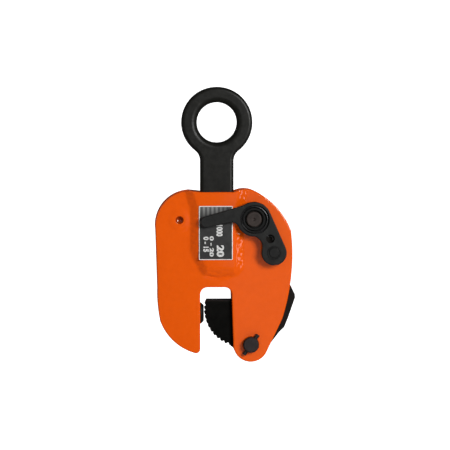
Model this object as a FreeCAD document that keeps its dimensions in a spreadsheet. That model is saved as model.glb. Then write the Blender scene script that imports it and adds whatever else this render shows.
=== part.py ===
import FreeCAD, Part
import math
import os

import Sketcher
from FreeCAD import Placement, Rotation, Vector

# A plate lifting clamp: a lifting eye on a shank that slides in a housing of two pressed side
# plates, a bent link to an eccentric toothed cam, a swivelling jaw facing the cam, and a lock
# lever whose shaft carries a lobe between the plates.  Millimetres.  The origin is the centre of
# the lifting eye, Z is up, X runs from the jaw's side to the cam's side, and the front of the
# clamp faces -Y.

# Driving dimensions: alias, value, meaning.
DIMENSIONS = [
    ("eye_bore", 18.0, "radius of the hole in the lifting eye"),
    ("eye_outer", 32.0, "outer radius of the lifting eye"),
    ("shackle_thick", 16.0, "thickness of the eye and shank along Y"),
    ("shank_half", 15.0, "half the shank's width"),
    ("neck_round", 12.0, "radius between the eye and the shank"),
    ("eye_soft", 5.0, "rounding of the eye's bore"),
    ("shackle_soft", 3.2, "rounding of the shackle's outer edges"),
    ("shackle_pin_z", -92.3, "height of the pin through the shank"),
    ("shackle_pin_rad", 6.0, "radius of the shackle pin"),
    ("shackle_pin_len", 25.2, "length of the shackle pin"),
    ("washer_thick", 1.6, "thickness of the washers on the shackle pin"),
    ("washer_rad", 9.5, "outer radius of the washers on the shackle pin"),
    ("clip_thick", 1.3, "thickness of the retaining rings"),
    ("clip_wide", 2.4, "radial width of the retaining rings"),
    ("half_gap", 10.5, "half the gap between the side plates"),
    ("plate_thick", 5.0, "thickness of each side plate"),
    ("bulge_rise", 4.5, "height of the pressed channel for the shank"),
    ("pad_rise", 0.8, "height of the round pad pressed around the stud"),
    ("pad_rad", 10.3, "radius of that pad"),
    ("stud_x", -33.9, "spacer stud, X"),
    ("stud_z", -87.4, "spacer stud, Z"),
    ("stud_rad", 7.0, "radius of the stud between the plates"),
    ("spigot_rad", 3.5, "radius of the stud's ends in the plates"),
    ("spigot_sink", 2.0, "depth of the stud's ends below the pads"),
    ("web_inset", 1.5, "distance from the plates' edge to the edge webs"),
    ("web_thick", 6.0, "thickness of the edge webs"),
    ("cam_x", 30.2, "cam pin, X"),
    ("cam_z", -199.5, "cam pin, Z"),
    ("cam_pin_rad", 7.0, "radius of the cam pin"),
    ("cam_pin_out", 7.0, "length of the cam pin beyond each side plate"),
    ("cam_thick", 20.0, "thickness of the cam along Y"),
    ("cam_boss", 15.4, "radius of the cam around its pin"),
    ("bush_wall", 2.0, "wall of the cam's bush and of the lock shaft's bushes"),
    ("running_gap", 0.05, "radial clearance of a running fit"),
    ("face_gap", 0.3, "clearance between faces that slide past each other"),
    ("fork_half", 4.4, "half the width of the slots that take the link"),
    ("tooth_pitch", 4.3, "pitch of the cam's teeth"),
    ("tooth_deep", 1.9, "depth of the cam's teeth"),
    ("face_x", 21.3, "centre of the cam's toothed face, X"),
    ("face_z", -169.3, "centre of the cam's toothed face, Z"),
    ("face_rad", 32.5, "radius over the tooth tips"),
    ("cam_edge", 0.6, "bevel along the top of the cam"),
    ("link_arm", 30.0, "distance from the cam pin to the link pin"),
    ("link_arm_deg", 57.0, "angle of the link pin above +X, seen from the cam pin"),
    ("link_pin_rad", 5.0, "radius of the link pin"),
    ("link_play", 1.25, "radial play of the link on the link pin"),
    ("link_half", 8.0, "half the width of the link's bar"),
    ("link_eye", 10.2, "radius of the link's two ends"),
    ("link_bend", 8.0, "how far the link's middle is bent out of its line of pins"),
    ("link_thick", 8.0, "thickness of the link"),
    ("link_swing", 2.2, "room around the link's lower eye in the cam's slot"),
    ("jaw_z", -172.2, "height of the swivel jaw's axis"),
    ("jaw_rad", 9.6, "radius of the swivel jaw"),
    ("jaw_back", -15.5, "back face of the swivel jaw, X"),
    ("jaw_front", -11.8, "tips of the swivel jaw's ridges, X"),
    ("spindle_rad", 5.0, "radius of the jaw's spindle"),
    ("spindle_end", -36.0, "inner end of the jaw's spindle, X"),
    ("spindle_neck", 3.4, "radius of the groove in the spindle"),
    ("keeper_x", -31.0, "pin that keeps the jaw in, X"),
    ("keeper_rad", 2.0, "radius of that pin"),
    ("block_face", -15.8, "face of the anvil block, X"),
    ("roll_pin_rad", 1.8, "radius of the roll pins through the cam pin"),
    ("roll_pin_len", 22.0, "length of the roll pins"),
    ("roll_pin_deg", 54.6, "slope of the roll pins from X towards Z"),
    ("roll_pin_y", 18.0, "distance of the roll pins from the middle plane"),
    ("lock_x", 32.5, "lock shaft, X"),
    ("lock_z", -86.3, "lock shaft, Z"),
    ("lock_rad", 7.0, "radius of the lock shaft"),
    ("lock_front", 27.0, "front end of the lock shaft, from the middle plane"),
    ("lock_rear", 18.6, "rear end of the lock shaft, from the middle plane"),
    ("lever_back", 21.6, "back face of the lock lever, from the middle plane"),
    ("lever_thick", 4.8, "thickness of the lock lever"),
    ("hub_rad", 9.5, "radius of the lever's hub behind its arms"),
    ("lever_head", 15.5, "radius of the lever's head"),
    ("collar_rad", 10.2, "outer radius of the collar in the lever's head"),
    ("collar_bore", 8.1, "radius of the collar's counterbore"),
    ("groove_rad", 12.8, "outer radius of the groove around the collar"),
    ("groove_shift_x", 1.1, "how far the groove is off the collar's centre, in X"),
    ("groove_shift_z", -0.4, "how far the groove is off the collar's centre, in Z"),
    ("groove_deep", 3.0, "depth of the groove"),
    ("counterbore_deep", 2.0, "depth of the collar's counterbore"),
    ("lever_end_x", 50.5, "centre of the short arm's end, X"),
    ("lever_end_z", -116.4, "centre of the short arm's end, Z"),
    ("lever_end", 11.3, "radius of the short arm's end"),
    ("wire_hole_x", 47.0, "hole that takes the lever spring's hook, X"),
    ("wire_hole_z", -103.9, "hole that takes the lever spring's hook, Z"),
    ("wire_hole", 3.8, "radius of that hole"),
    ("rivet_head", 6.0, "radius of the rivet's head in the short arm"),
    ("rivet_rad", 4.0, "radius of the rivet's shank"),
    ("rivet_rise", 0.8, "height of the rivet's head"),
    ("coil_rad", 11.45, "mean radius of the lever spring"),
    ("coil_wire", 0.55, "radius of the lever spring's wire"),
    ("coil_room", 0.2, "clearance of the lever spring's leg in the lever"),
    ("leg_deep", 1.4, "depth of the slot for that leg in the lever's back"),
    ("lobe_rad", 12.6, "reach of the latch lobe on the lock shaft"),
    ("lobe_thick", 8.0, "thickness of the latch lobe"),
    ("name_left", -16.7, "left edge of the nameplate, X"),
    ("name_right", 13.7, "right edge of the nameplate, X"),
    ("name_top", -74.6, "top edge of the nameplate, Z"),
    ("name_bottom", -123.0, "bottom edge of the nameplate, Z"),
    ("name_thick", 0.8, "thickness of the nameplate"),
    ("name_corner", 1.0, "corner radius of the nameplate"),
]

AXIS_X = Vector(1, 0, 0)
AXIS_Y = Vector(0, 1, 0)
ALONG_Y = Rotation(Vector(1, 0, 0), -90)

doc = FreeCAD.newDocument("plate_clamp")
sheet = doc.addObject("Spreadsheet::Sheet", "Sizes")
for row, (alias, value, meaning) in enumerate(DIMENSIONS, start=1):
    sheet.set(f"A{row}", meaning)
    sheet.set(f"B{row}", str(value))
    sheet.setAlias(f"B{row}", alias)
doc.recompute()

subparts = []


def size(alias):
    """The value of a cell of the sheet."""
    return float(sheet.get(alias))


def polar(x, z, radius, degrees):
    """The point (x, z) moved by radius in a direction counted from +X towards +Z."""
    turn = math.radians(degrees)
    return (x + radius * math.cos(turn), z + radius * math.sin(turn))


# ---------------------------------------------------------------- building helpers


def new_body(label, back=None):
    """An empty body; back is an expression for the Y of its sketch plane."""
    body = doc.addObject("PartDesign::Body", label)
    body.Label = label
    if back:
        body.setExpression("Placement.Base.y", back)
    subparts.append(body)
    return body


def new_sketch(body, name, role="XZ_Plane", offset=None):
    """A sketch on one of the body's own planes; on XZ its normal points to the front, -Y."""
    sketch = body.newObject("Sketcher::SketchObject", f"{body.Name}_{name}")
    plane = next(item for item in body.Origin.OriginFeatures if item.Role == role)
    sketch.AttachmentSupport = (plane, [""])
    sketch.MapMode = "FlatFace"
    if offset:
        sketch.setExpression("AttachmentOffset.Base.z", offset)
    return sketch


def draw(sketch, start, steps):
    """A chain of edges: a step is an end point, or a (middle, end) pair for an arc."""
    here = Vector(*start, 0)
    for step in steps:
        if isinstance(step[0], tuple):
            middle = Vector(*step[0], 0)
            end = Vector(*step[1], 0)
            sketch.addGeometry(Part.Arc(here, middle, end))
        else:
            end = Vector(*step, 0)
            sketch.addGeometry(Part.LineSegment(here, end))
        here = end


def draw_polygon(sketch, points):
    """A closed polygon."""
    draw(sketch, points[0], points[1:] + points[:1])


def draw_circle(sketch, x, z, radius):
    """A circle whose centre and radius are bound to the sheet; x and z may be None for 0."""
    centre = Vector(size(x) if x else 0, size(z) if z else 0, 0)
    start_radius = 1.0
    index = sketch.addGeometry(Part.Circle(centre, Vector(0, 0, 1), start_radius))
    bound = sketch.addConstraint(Sketcher.Constraint("Radius", index, start_radius))
    sketch.setExpression(f"Constraints[{bound}]", radius)
    for kind, alias, place in (("DistanceX", x, centre.x), ("DistanceY", z, centre.y)):
        if alias:
            held = sketch.addConstraint(Sketcher.Constraint(kind, -1, 1, index, 3, place))
            sketch.setExpression(f"Constraints[{held}]", f"Sizes.{alias}")


def pad(body, sketch, length, both_ways=False, backwards=False):
    """A pad towards the front, towards the back, or half each way."""
    feature = body.newObject("PartDesign::Pad", f"{sketch.Name}_pad")
    feature.Profile = sketch
    feature.setExpression("Length", length)
    feature.SideType = "Symmetric" if both_ways else "One side"
    feature.Reversed = backwards
    doc.recompute()
    return feature


def pocket(body, sketch, length=None, both_ways=True, backwards=False):
    """A pocket, right through unless a length is given."""
    before = body.Shape.Volume
    feature = body.newObject("PartDesign::Pocket", f"{sketch.Name}_pocket")
    feature.Profile = sketch
    feature.SideType = "Symmetric" if both_ways else "One side"
    feature.Reversed = backwards
    if length:
        feature.setExpression("Length", length)
    else:
        feature.Type = "ThroughAll"
    doc.recompute()
    if body.Shape.Volume >= before:
        raise RuntimeError(f"{feature.Name} cuts nothing")
    return feature


def dress(body, kind, radius, wanted):
    """A Fillet or Chamfer on the edges for which wanted(edge) is true."""
    base = body.Tip
    edges = [f"Edge{n}" for n, edge in enumerate(base.Shape.Edges, start=1) if wanted(edge)]
    feature = body.newObject(f"PartDesign::{kind}", f"{body.Name}_{kind.lower()}_{len(body.Group)}")
    feature.Base = (base, edges)
    feature.setExpression("Radius" if kind == "Fillet" else "Size", radius)
    doc.recompute()
    if "Invalid" in feature.State or feature.Shape.isNull():
        raise RuntimeError(f"{feature.Name} fails on {len(edges)} edges")
    return feature


def lies_at(edge, y):
    """Whether an edge lies in the plane at this Y of its body."""
    box = edge.BoundBox
    return abs(box.YMin - y) < 1e-4 and abs(box.YMax - y) < 1e-4


def cylinder(name, radius, length, x, y, z, rotation=ALONG_Y):
    """A cylinder whose sizes and place are expressions; y is the end its axis starts from."""
    solid = doc.addObject("Part::Cylinder", name)
    solid.Placement = Placement(Vector(), rotation)
    solid.setExpression("Radius", radius)
    solid.setExpression("Height", length)
    for axis, place in (("x", x), ("y", y), ("z", z)):
        solid.setExpression(f"Placement.Base.{axis}", place)
    return solid


def combine(kind, label, *pieces):
    """A Part::Cut of two pieces or a Part::MultiFuse of several."""
    result = doc.addObject(f"Part::{kind}", label)
    if kind == "Cut":
        result.Base = pieces[0]
        result.Tool = pieces[1]
    else:
        result.Shapes = list(pieces)
    return result


def keep(item, label):
    """Makes a Part object one of the sub-parts."""
    item.Label = label
    subparts.append(item)
    return item


def ring_pair(label, outer, inner, thick, inside, x, z):
    """Two rings alike, one each side of the middle plane, inside being their nearer face."""
    rings = []
    for side in ("front", "rear"):
        start = f"-({inside}) - ({thick})" if side == "front" else inside
        disc = cylinder(f"{label}_{side}_disc", outer, thick, x, start, z)
        hole = cylinder(f"{label}_{side}_hole", inner, thick, x, start, z)
        rings.append(combine("Cut", f"{label}_{side}", disc, hole))
    pair = doc.addObject("Part::Compound", label)
    pair.Links = rings
    return keep(pair, label)


def feature(label, shape):
    """A sub-part whose shape is made by Part's own functions."""
    item = doc.addObject("Part::Feature", label)
    item.Shape = shape
    item.Placement = Placement()
    return keep(item, label)


def prism(wire_edges, thick):
    """A flat outline in the middle plane, made thick towards both sides."""
    face = Part.Face(Part.Wire(wire_edges))
    face.translate(Vector(0, -thick / 2, 0))
    return face.extrude(Vector(0, thick, 0))


def edges_of(start, steps):
    """The edges of a chain like draw()'s, in the XZ plane."""
    edges = []
    here = Vector(start[0], 0, start[1])
    for step in steps:
        if isinstance(step[0], tuple):
            middle = Vector(step[0][0], 0, step[0][1])
            end = Vector(step[1][0], 0, step[1][1])
            edges.append(Part.Arc(here, middle, end).toShape())
        else:
            end = Vector(step[0], 0, step[1])
            edges.append(Part.LineSegment(here, end).toShape())
        here = end
    return edges


# ---------------------------------------------------------------- housing


CAM_X, CAM_Z = size("cam_x"), size("cam_z")
LEG_ROUND = 15.8

# The side plates' outline, from the bottom of the jaw's leg round to the throat.
PLATE_START = (-15.3, -203.6)
PLATE_STEPS = [
    ((-16.4, -206.3), (-20.0, -207.3)),
    ((-38.0, -197.6), (-51.4, -178.0)),
    ((-53.3, -164.5), (-53.7, -150.0)),
    (-55.4, -97.0),
    ((-45.9, -69.7), (-25.0, -60.9)),
    (-14.0, -62.2),
    (14.0, -62.2),
    (20.0, -60.3),
    ((26.5, -59.7), (33.0, -61.3)),
    ((52.6, -75.2), (66.3, -97.0)),
    ((67.5, -111.0), (67.4, -128.0)),
    ((64.5, -152.5), (58.3, -177.0)),
    polar(CAM_X, CAM_Z, LEG_ROUND, -30.3),
    (polar(CAM_X, CAM_Z, LEG_ROUND, -100.0), polar(CAM_X, CAM_Z, LEG_ROUND, 178.0)),
    (13.0, -154.5),
    ((11.1, -149.9), (6.5, -148.0)),
    (-8.8, -148.0),
    ((-13.4, -149.9), (-15.3, -154.5)),
    PLATE_START,
]

# The pressed channel: its foot on the plate and its flat top, corner for corner.
BULGE_FOOT = [
    (-32.0, -56.0), (-24.3, -76.0), (-24.3, -118.0), (-14.0, -138.5),
    (20.5, -138.5), (23.6, -134.0), (23.6, -75.0), (29.0, -56.0),
]
BULGE_TOP = [
    (-23.5, -56.0), (-17.1, -76.0), (-17.1, -115.0), (-9.0, -131.0),
    (14.0, -131.0), (16.2, -128.5), (16.2, -75.0), (21.0, -56.0),
]
CHANNEL_INSET = 1.4


def inset(points, amount):
    """A bulge outline moved in by the same amount at both sides and at the bottom."""
    return [(x + math.copysign(amount, -x), z + (amount if z < -130 else 0)) for x, z in points]


def side_plate(label, front):
    """A side plate with its pressed channel, stud pad and holes; it grows outwards."""
    sign = "" if front else "-"
    body = new_body(label, "-Sizes.half_gap" if front else "Sizes.half_gap")

    outline = new_sketch(body, "outline")
    draw(outline, PLATE_START, PLATE_STEPS)
    pad(body, outline, "Sizes.plate_thick", backwards=not front)

    levels = {
        "AdditiveLoft": (BULGE_FOOT, BULGE_TOP, "Sizes.plate_thick",
                         "(Sizes.plate_thick + Sizes.bulge_rise)"),
        "SubtractiveLoft": (inset(BULGE_FOOT, CHANNEL_INSET), inset(BULGE_TOP, CHANNEL_INSET),
                            None, "Sizes.bulge_rise"),
    }
    for kind, (foot_points, top_points, foot_level, top_level) in levels.items():
        foot = new_sketch(body, f"{kind}_foot", offset=foot_level and sign + foot_level)
        draw_polygon(foot, foot_points)
        top = new_sketch(body, f"{kind}_top", offset=sign + top_level)
        draw_polygon(top, top_points)
        loft = body.newObject(f"PartDesign::{kind}", f"{label}_{kind}")
        loft.Profile = foot
        loft.Sections = [top]
        loft.Ruled = True
        doc.recompute()

    trim = new_sketch(body, "trim")
    draw(trim, PLATE_START, PLATE_STEPS)
    draw_polygon(trim, [(-90, -240), (-90, -30), (90, -30), (90, -240)])
    pocket(body, trim)

    stud_pad = new_sketch(body, "stud_pad", offset=sign + "Sizes.plate_thick")
    draw_circle(stud_pad, "stud_x", "stud_z", "Sizes.pad_rad")
    pad(body, stud_pad, "Sizes.pad_rise", backwards=not front)

    holes = new_sketch(body, "holes")
    draw_circle(holes, "stud_x", "stud_z", "Sizes.spigot_rad")
    draw_circle(holes, "lock_x", "lock_z", "Sizes.lock_rad + Sizes.running_gap + Sizes.bush_wall")
    draw_circle(holes, "cam_x", "cam_z", "Sizes.cam_pin_rad")
    pocket(body, holes)


def edge_web(label, keep_boxes):
    """A strip between the side plates, just inside their outline, kept inside some boxes."""
    gap = 2 * size("half_gap")
    face = Part.Face(Part.Wire(edges_of(PLATE_START, PLATE_STEPS)))
    outer = face.makeOffset2D(-size("web_inset"))
    inner = face.makeOffset2D(-size("web_inset") - size("web_thick"))
    strip = outer.cut(inner)
    strip.translate(Vector(0, -gap / 2, 0))
    solid = strip.extrude(Vector(0, gap, 0))
    zones = [Part.makeBox(high_x - low_x, 2 * gap, high_z - low_z, Vector(low_x, -gap, low_z))
             for low_x, high_x, low_z, high_z in keep_boxes]
    zone = zones[0].multiFuse(zones[1:]).removeSplitter() if zones[1:] else zones[0]
    return feature(label, solid.common(zone).Solids[0])


def anvil_block():
    """The block in the jaw's leg, bored for the jaw's spindle and for its keeper pin."""
    body = new_body("anvil_block")
    outline = new_sketch(body, "outline")
    face = size("block_face")
    draw_polygon(outline, [(face, -157.5), (-44.0, -157.5), (-43.6, -173.0), (-37.0, -187.5),
                           (face, -187.5)])
    pad(body, outline, "2 * Sizes.half_gap", both_ways=True)

    keeper = new_sketch(body, "keeper")
    lift = size("spindle_neck") + size("face_gap") + size("keeper_rad")
    centre = Vector(size("keeper_x"), size("jaw_z") + lift, 0)
    keeper.addGeometry(Part.Circle(centre, Vector(0, 0, 1), size("keeper_rad")))
    pocket(body, keeper)

    bore = new_sketch(body, "bore", role="YZ_Plane", offset="Sizes.block_face")
    draw_circle(bore, None, "jaw_z", "Sizes.spindle_rad + Sizes.running_gap")
    pocket(body, bore, "Sizes.block_face - Sizes.spindle_end + 1", both_ways=False)


def spacer_stud():
    """The stud that spaces the plates, its ends a little below the pads around them."""
    reach = "Sizes.half_gap + Sizes.plate_thick + Sizes.pad_rise - Sizes.spigot_sink"
    core = cylinder("stud_core", "Sizes.stud_rad", "2 * Sizes.half_gap",
                    "Sizes.stud_x", "-Sizes.half_gap", "Sizes.stud_z")
    spigot = cylinder("stud_spigot", "Sizes.spigot_rad", f"2 * ({reach})",
                      "Sizes.stud_x", f"-({reach})", "Sizes.stud_z")
    keep(combine("MultiFuse", "spacer_stud", core, spigot), "spacer_stud")


def roll_pin_rod(name, radius, y):
    """A rod along a roll pin's axis, through the cam pin."""
    slope = math.radians(size("roll_pin_deg"))
    half = size("roll_pin_len") / 2
    rod = doc.addObject("Part::Cylinder", name)
    rod.setExpression("Radius", radius)
    rod.setExpression("Height", "Sizes.roll_pin_len")
    along = Vector(math.cos(slope), 0, math.sin(slope))
    start = Vector(CAM_X, y, CAM_Z) - along * half
    rod.Placement = Placement(start, Rotation(Vector(0, 0, 1), along))
    return rod


def cam_pin():
    """The pin the cam turns on, cross-drilled outside both plates."""
    reach = "Sizes.half_gap + Sizes.plate_thick + Sizes.cam_pin_out"
    core = cylinder("cam_pin_core", "Sizes.cam_pin_rad", f"2 * ({reach})",
                    "Sizes.cam_x", f"-({reach})", "Sizes.cam_z")
    doc.recompute()
    bevel = doc.addObject("Part::Chamfer", "cam_pin_bevel")
    bevel.Base = core
    end_bevel = 0.8
    bevel.Edges = [(n, end_bevel, end_bevel) for n, edge in enumerate(core.Shape.Edges, start=1)
                   if edge.BoundBox.YLength < 0.01]
    drills = [roll_pin_rod(f"drill_{n}", "Sizes.roll_pin_rad", side * size("roll_pin_y"))
              for n, side in enumerate((-1, 1))]
    keep(combine("Cut", "cam_pin", bevel, combine("MultiFuse", "cam_pin_drills", *drills)),
         "cam_pin")


def roll_pins():
    """The two hollow, slit roll pins that keep the cam pin in."""
    pins = []
    slope = math.radians(size("roll_pin_deg"))
    for n, side in enumerate((-1, 1)):
        y = side * size("roll_pin_y")
        rod = roll_pin_rod(f"roll_rod_{n}", "Sizes.roll_pin_rad", y)
        bore = roll_pin_rod(f"roll_bore_{n}", "Sizes.roll_pin_rad * 0.5", y)
        slit = doc.addObject("Part::Box", f"roll_slit_{n}")
        slit.setExpression("Length", "Sizes.roll_pin_len")
        slit.setExpression("Width", "Sizes.roll_pin_rad * 0.4")
        slit.setExpression("Height", "Sizes.roll_pin_rad * 2")
        turn = Rotation(Vector(0, 1, 0), -math.degrees(slope))
        half = size("roll_pin_len") / 2
        corner = turn.multVec(Vector(-half, -0.2 * size("roll_pin_rad"), 0))
        slit.Placement = Placement(Vector(CAM_X, y, CAM_Z) + corner, turn)
        hollow = combine("MultiFuse", f"roll_hollow_{n}", bore, slit)
        pins.append(combine("Cut", f"roll_pin_{n}", rod, hollow))
    pair = doc.addObject("Part::Compound", "cam_pin_roll_pins")
    pair.Links = pins
    keep(pair, "cam_pin_roll_pins")


def housing():
    side_plate("front_side_plate", front=True)
    side_plate("rear_side_plate", front=False)
    edge_web("jaw_side_web", [(-70, -24, -230, -40), (-70, -17, -100, -40)])
    edge_web("cam_side_web", [(17, 80, -118, -40)])
    anvil_block()
    spacer_stud()
    cam_pin()
    roll_pins()

    ring_pair("lock_shaft_bushes", "Sizes.lock_rad + Sizes.running_gap + Sizes.bush_wall",
              "Sizes.lock_rad + Sizes.running_gap", "Sizes.plate_thick", "Sizes.half_gap",
              "Sizes.lock_x", "Sizes.lock_z")
    keep(cylinder("jaw_keeper_pin", "Sizes.keeper_rad", "2 * Sizes.half_gap", "Sizes.keeper_x",
                  "-Sizes.half_gap",
                  "Sizes.jaw_z + Sizes.spindle_neck + Sizes.face_gap + Sizes.keeper_rad"),
         "jaw_keeper_pin")

    name = new_body("nameplate", "-Sizes.half_gap - Sizes.plate_thick - Sizes.bulge_rise")
    outline = new_sketch(name, "outline")
    draw_polygon(outline, [(size("name_left"), size("name_top")),
                           (size("name_right"), size("name_top")),
                           (size("name_right"), size("name_bottom")),
                           (size("name_left"), size("name_bottom"))])
    pad(name, outline, "Sizes.name_thick")
    dress(name, "Fillet", "Sizes.name_corner",
          lambda edge: edge.BoundBox.YLength > size("name_thick") / 2)


# ---------------------------------------------------------------- lifting eye and shank


def shackle():
    """The forged eye and shank, slotted at the bottom for the link."""
    outer, neck, half = size("eye_outer"), size("neck_round"), size("shank_half")
    pin_z = size("shackle_pin_z")
    neck_z = -math.sqrt((outer + neck) ** 2 - (half + neck) ** 2)
    touch = outer / (outer + neck)
    body = new_body("shackle")
    outline = new_sketch(body, "outline")

    def neck_middle(side):
        """The middle of a neck arc, which is centred outside the shank."""
        centre_x = side * (half + neck)
        to_eye = math.degrees(math.atan2(-neck_z, -centre_x))
        to_shank = 180.0 if side > 0 else 0.0
        return polar(centre_x, neck_z, neck, (to_eye + to_shank) / 2)

    draw(outline, (half, neck_z), [
        (neck_middle(1), ((half + neck) * touch, neck_z * touch)),
        ((0, outer), (-(half + neck) * touch, neck_z * touch)),
        (neck_middle(-1), (-half, neck_z)),
        (-half, pin_z),
        ((0, pin_z - half), (half, pin_z)),
        (half, neck_z),
    ])
    draw_circle(outline, None, None, "Sizes.eye_bore")
    pad(body, outline, "Sizes.shackle_thick", both_ways=True)

    bore = size("eye_bore")
    face = size("shackle_thick") / 2

    def on_face(edge):
        return lies_at(edge, face) or lies_at(edge, -face)

    dress(body, "Fillet", "Sizes.eye_soft",
          lambda edge: on_face(edge) and abs(edge.BoundBox.XLength - 2 * bore) < 0.1)
    dress(body, "Fillet", "Sizes.shackle_soft",
          lambda edge: on_face(edge) and not (edge.isClosed() and edge.BoundBox.XLength < outer * 1.9))

    fork = new_sketch(body, "fork")
    link_room = 1.5
    top = pin_z + size("link_eye") + link_room
    low = pin_z - 2 * half
    draw_polygon(fork, [(-2 * half, top), (2 * half, top), (2 * half, low), (-2 * half, low)])
    pocket(body, fork, "2 * Sizes.fork_half")

    pin_hole = new_sketch(body, "pin_hole")
    draw_circle(pin_hole, None, "shackle_pin_z", "Sizes.shackle_pin_rad")
    pocket(body, pin_hole)


def shackle_set():
    shackle()
    keep(cylinder("shackle_pin", "Sizes.shackle_pin_rad", "Sizes.shackle_pin_len", "0",
                  "-Sizes.shackle_pin_len / 2", "Sizes.shackle_pin_z"), "shackle_pin")
    ring_pair("shackle_pin_washers", "Sizes.washer_rad", "Sizes.shackle_pin_rad",
              "Sizes.washer_thick", "Sizes.shackle_thick / 2", "0", "Sizes.shackle_pin_z")
    ring_pair("shackle_pin_clips", "Sizes.shackle_pin_rad + Sizes.clip_wide",
              "Sizes.shackle_pin_rad", "Sizes.clip_thick",
              "Sizes.shackle_thick / 2 + Sizes.washer_thick", "0", "Sizes.shackle_pin_z")


# ---------------------------------------------------------------- link


LINK_TOP = (0.0, size("shackle_pin_z"))
LINK_LOW = polar(CAM_X, CAM_Z, size("link_arm"), size("link_arm_deg"))


def bent(side_offset):
    """Start, middle and end of the link's bent line, moved sideways by side_offset."""
    run_x = LINK_LOW[0] - LINK_TOP[0]
    run_z = LINK_LOW[1] - LINK_TOP[1]
    span = math.hypot(run_x, run_z)
    normal = (-run_z / span, run_x / span)
    bend = size("link_bend")
    radius = (span ** 2 / 4 + bend ** 2) / (2 * bend)
    middle = ((LINK_TOP[0] + LINK_LOW[0]) / 2, (LINK_TOP[1] + LINK_LOW[1]) / 2)
    centre = (middle[0] + normal[0] * (bend - radius), middle[1] + normal[1] * (bend - radius))
    points = []
    crown = (middle[0] + normal[0] * bend, middle[1] + normal[1] * bend)
    for x, z in (LINK_TOP, crown, LINK_LOW):
        away = math.hypot(x - centre[0], z - centre[1])
        scale = (away + side_offset) / away
        points.append((centre[0] + (x - centre[0]) * scale, centre[1] + (z - centre[1]) * scale))
    return points


def cam_link():
    """The bent link; its lower eye has play because the tree of joints is opened there."""
    thick = size("link_thick")
    half = size("link_half")
    right = bent(half)
    left = bent(-half)
    bar = prism(edges_of(right[0], [(right[1], right[2]), left[2], (left[1], left[0]),
                                    right[0]]), thick)
    solid = bar
    for x, z in (LINK_TOP, LINK_LOW):
        eye = Part.makeCylinder(size("link_eye"), thick, Vector(x, -thick / 2, z), AXIS_Y)
        solid = solid.fuse(eye)
    solid = solid.removeSplitter()
    bores = ((LINK_TOP, size("shackle_pin_rad") + size("running_gap")),
             (LINK_LOW, size("link_pin_rad") + size("link_play")))
    for (x, z), radius in bores:
        solid = solid.cut(Part.makeCylinder(radius, thick, Vector(x, -thick / 2, z), AXIS_Y))
    feature("cam_link", solid)


# ---------------------------------------------------------------- cam


def tooth_points():
    """Corners of the cam's teeth, from the top of the toothed face down to the pin's boss."""
    x, z, radius = size("face_x"), size("face_z"), size("face_rad")
    first, last = 168.0, 254.0
    step = math.degrees(size("tooth_pitch") / radius)
    count = int((last - first) / step)
    tip_share = 0.3
    root_share = (1 + tip_share) / 2
    root = radius - size("tooth_deep")
    points = []
    for n in range(count):
        start = first + n * step
        points.append(polar(x, z, radius, start))
        points.append(polar(x, z, radius, start + tip_share * step))
        points.append(polar(x, z, root, start + root_share * step))
    points.append(polar(x, z, radius, first + count * step))
    return points


def toothed_cam():
    """The eccentric cam: toothed face, boss on the cam pin, tail, and a slot for the link."""
    boss = size("cam_boss")
    body = new_body("toothed_cam")
    outline = new_sketch(body, "outline")
    teeth = tooth_points()
    draw(outline, teeth[0], teeth[1:] + [
        polar(CAM_X, CAM_Z, boss, 195.0),
        (polar(CAM_X, CAM_Z, boss, 270.0), polar(CAM_X, CAM_Z, boss, -12.0)),
        (56.4, -188.4),
        (60.6, -184.4),
        (64.2, -175.6),
        (70.4, -157.6),
        (70.1, -154.6),
        (66.4, -146.8),
        ((57.0, -144.6), (48.6, -148.6)),
        (38.0, -159.8),
        (-9.2, -159.8),
        teeth[0],
    ])
    pad(body, outline, "Sizes.cam_thick", both_ways=True)

    fork = new_sketch(body, "fork")
    low_x, low_z = LINK_LOW
    room = size("link_eye") + size("link_swing")
    above = -135.0
    draw(fork, (-20.0, -161.4), [
        ((0.4, -166.2), polar(low_x, low_z, room, 250.0)),
        (polar(low_x, low_z, room, 310.0), polar(low_x, low_z, room, 10.0)),
        (polar(low_x, low_z, room, 10.0)[0], above),
        (-20.0, above),
        (-20.0, -161.4),
    ])
    pocket(body, fork, "2 * Sizes.fork_half")

    holes = new_sketch(body, "holes")
    draw_circle(holes, "cam_x", "cam_z",
                "Sizes.cam_pin_rad + Sizes.running_gap + Sizes.bush_wall")
    holes.addGeometry(Part.Circle(Vector(low_x, low_z, 0), Vector(0, 0, 1), size("link_pin_rad")))
    pocket(body, holes)

    face = size("cam_thick") / 2
    dress(body, "Chamfer", "Sizes.cam_edge",
          lambda edge: (lies_at(edge, face) or lies_at(edge, -face))
          and edge.BoundBox.ZLength < 0.01 and edge.BoundBox.XLength > 30)


def cam_set():
    toothed_cam()
    bore = "Sizes.cam_pin_rad + Sizes.running_gap"
    disc = cylinder("cam_bush_disc", f"{bore} + Sizes.bush_wall", "Sizes.cam_thick",
                    "Sizes.cam_x", "-Sizes.cam_thick / 2", "Sizes.cam_z")
    hole = cylinder("cam_bush_hole", bore, "Sizes.cam_thick",
                    "Sizes.cam_x", "-Sizes.cam_thick / 2", "Sizes.cam_z")
    keep(combine("Cut", "cam_bush", disc, hole), "cam_bush")
    keep(cylinder("link_pin", "Sizes.link_pin_rad", "Sizes.cam_thick",
                  "Sizes.cam_x + Sizes.link_arm * cos(Sizes.link_arm_deg)",
                  "-Sizes.cam_thick / 2",
                  "Sizes.cam_z + Sizes.link_arm * sin(Sizes.link_arm_deg)"), "link_pin")


# ---------------------------------------------------------------- swivel jaw


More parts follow.
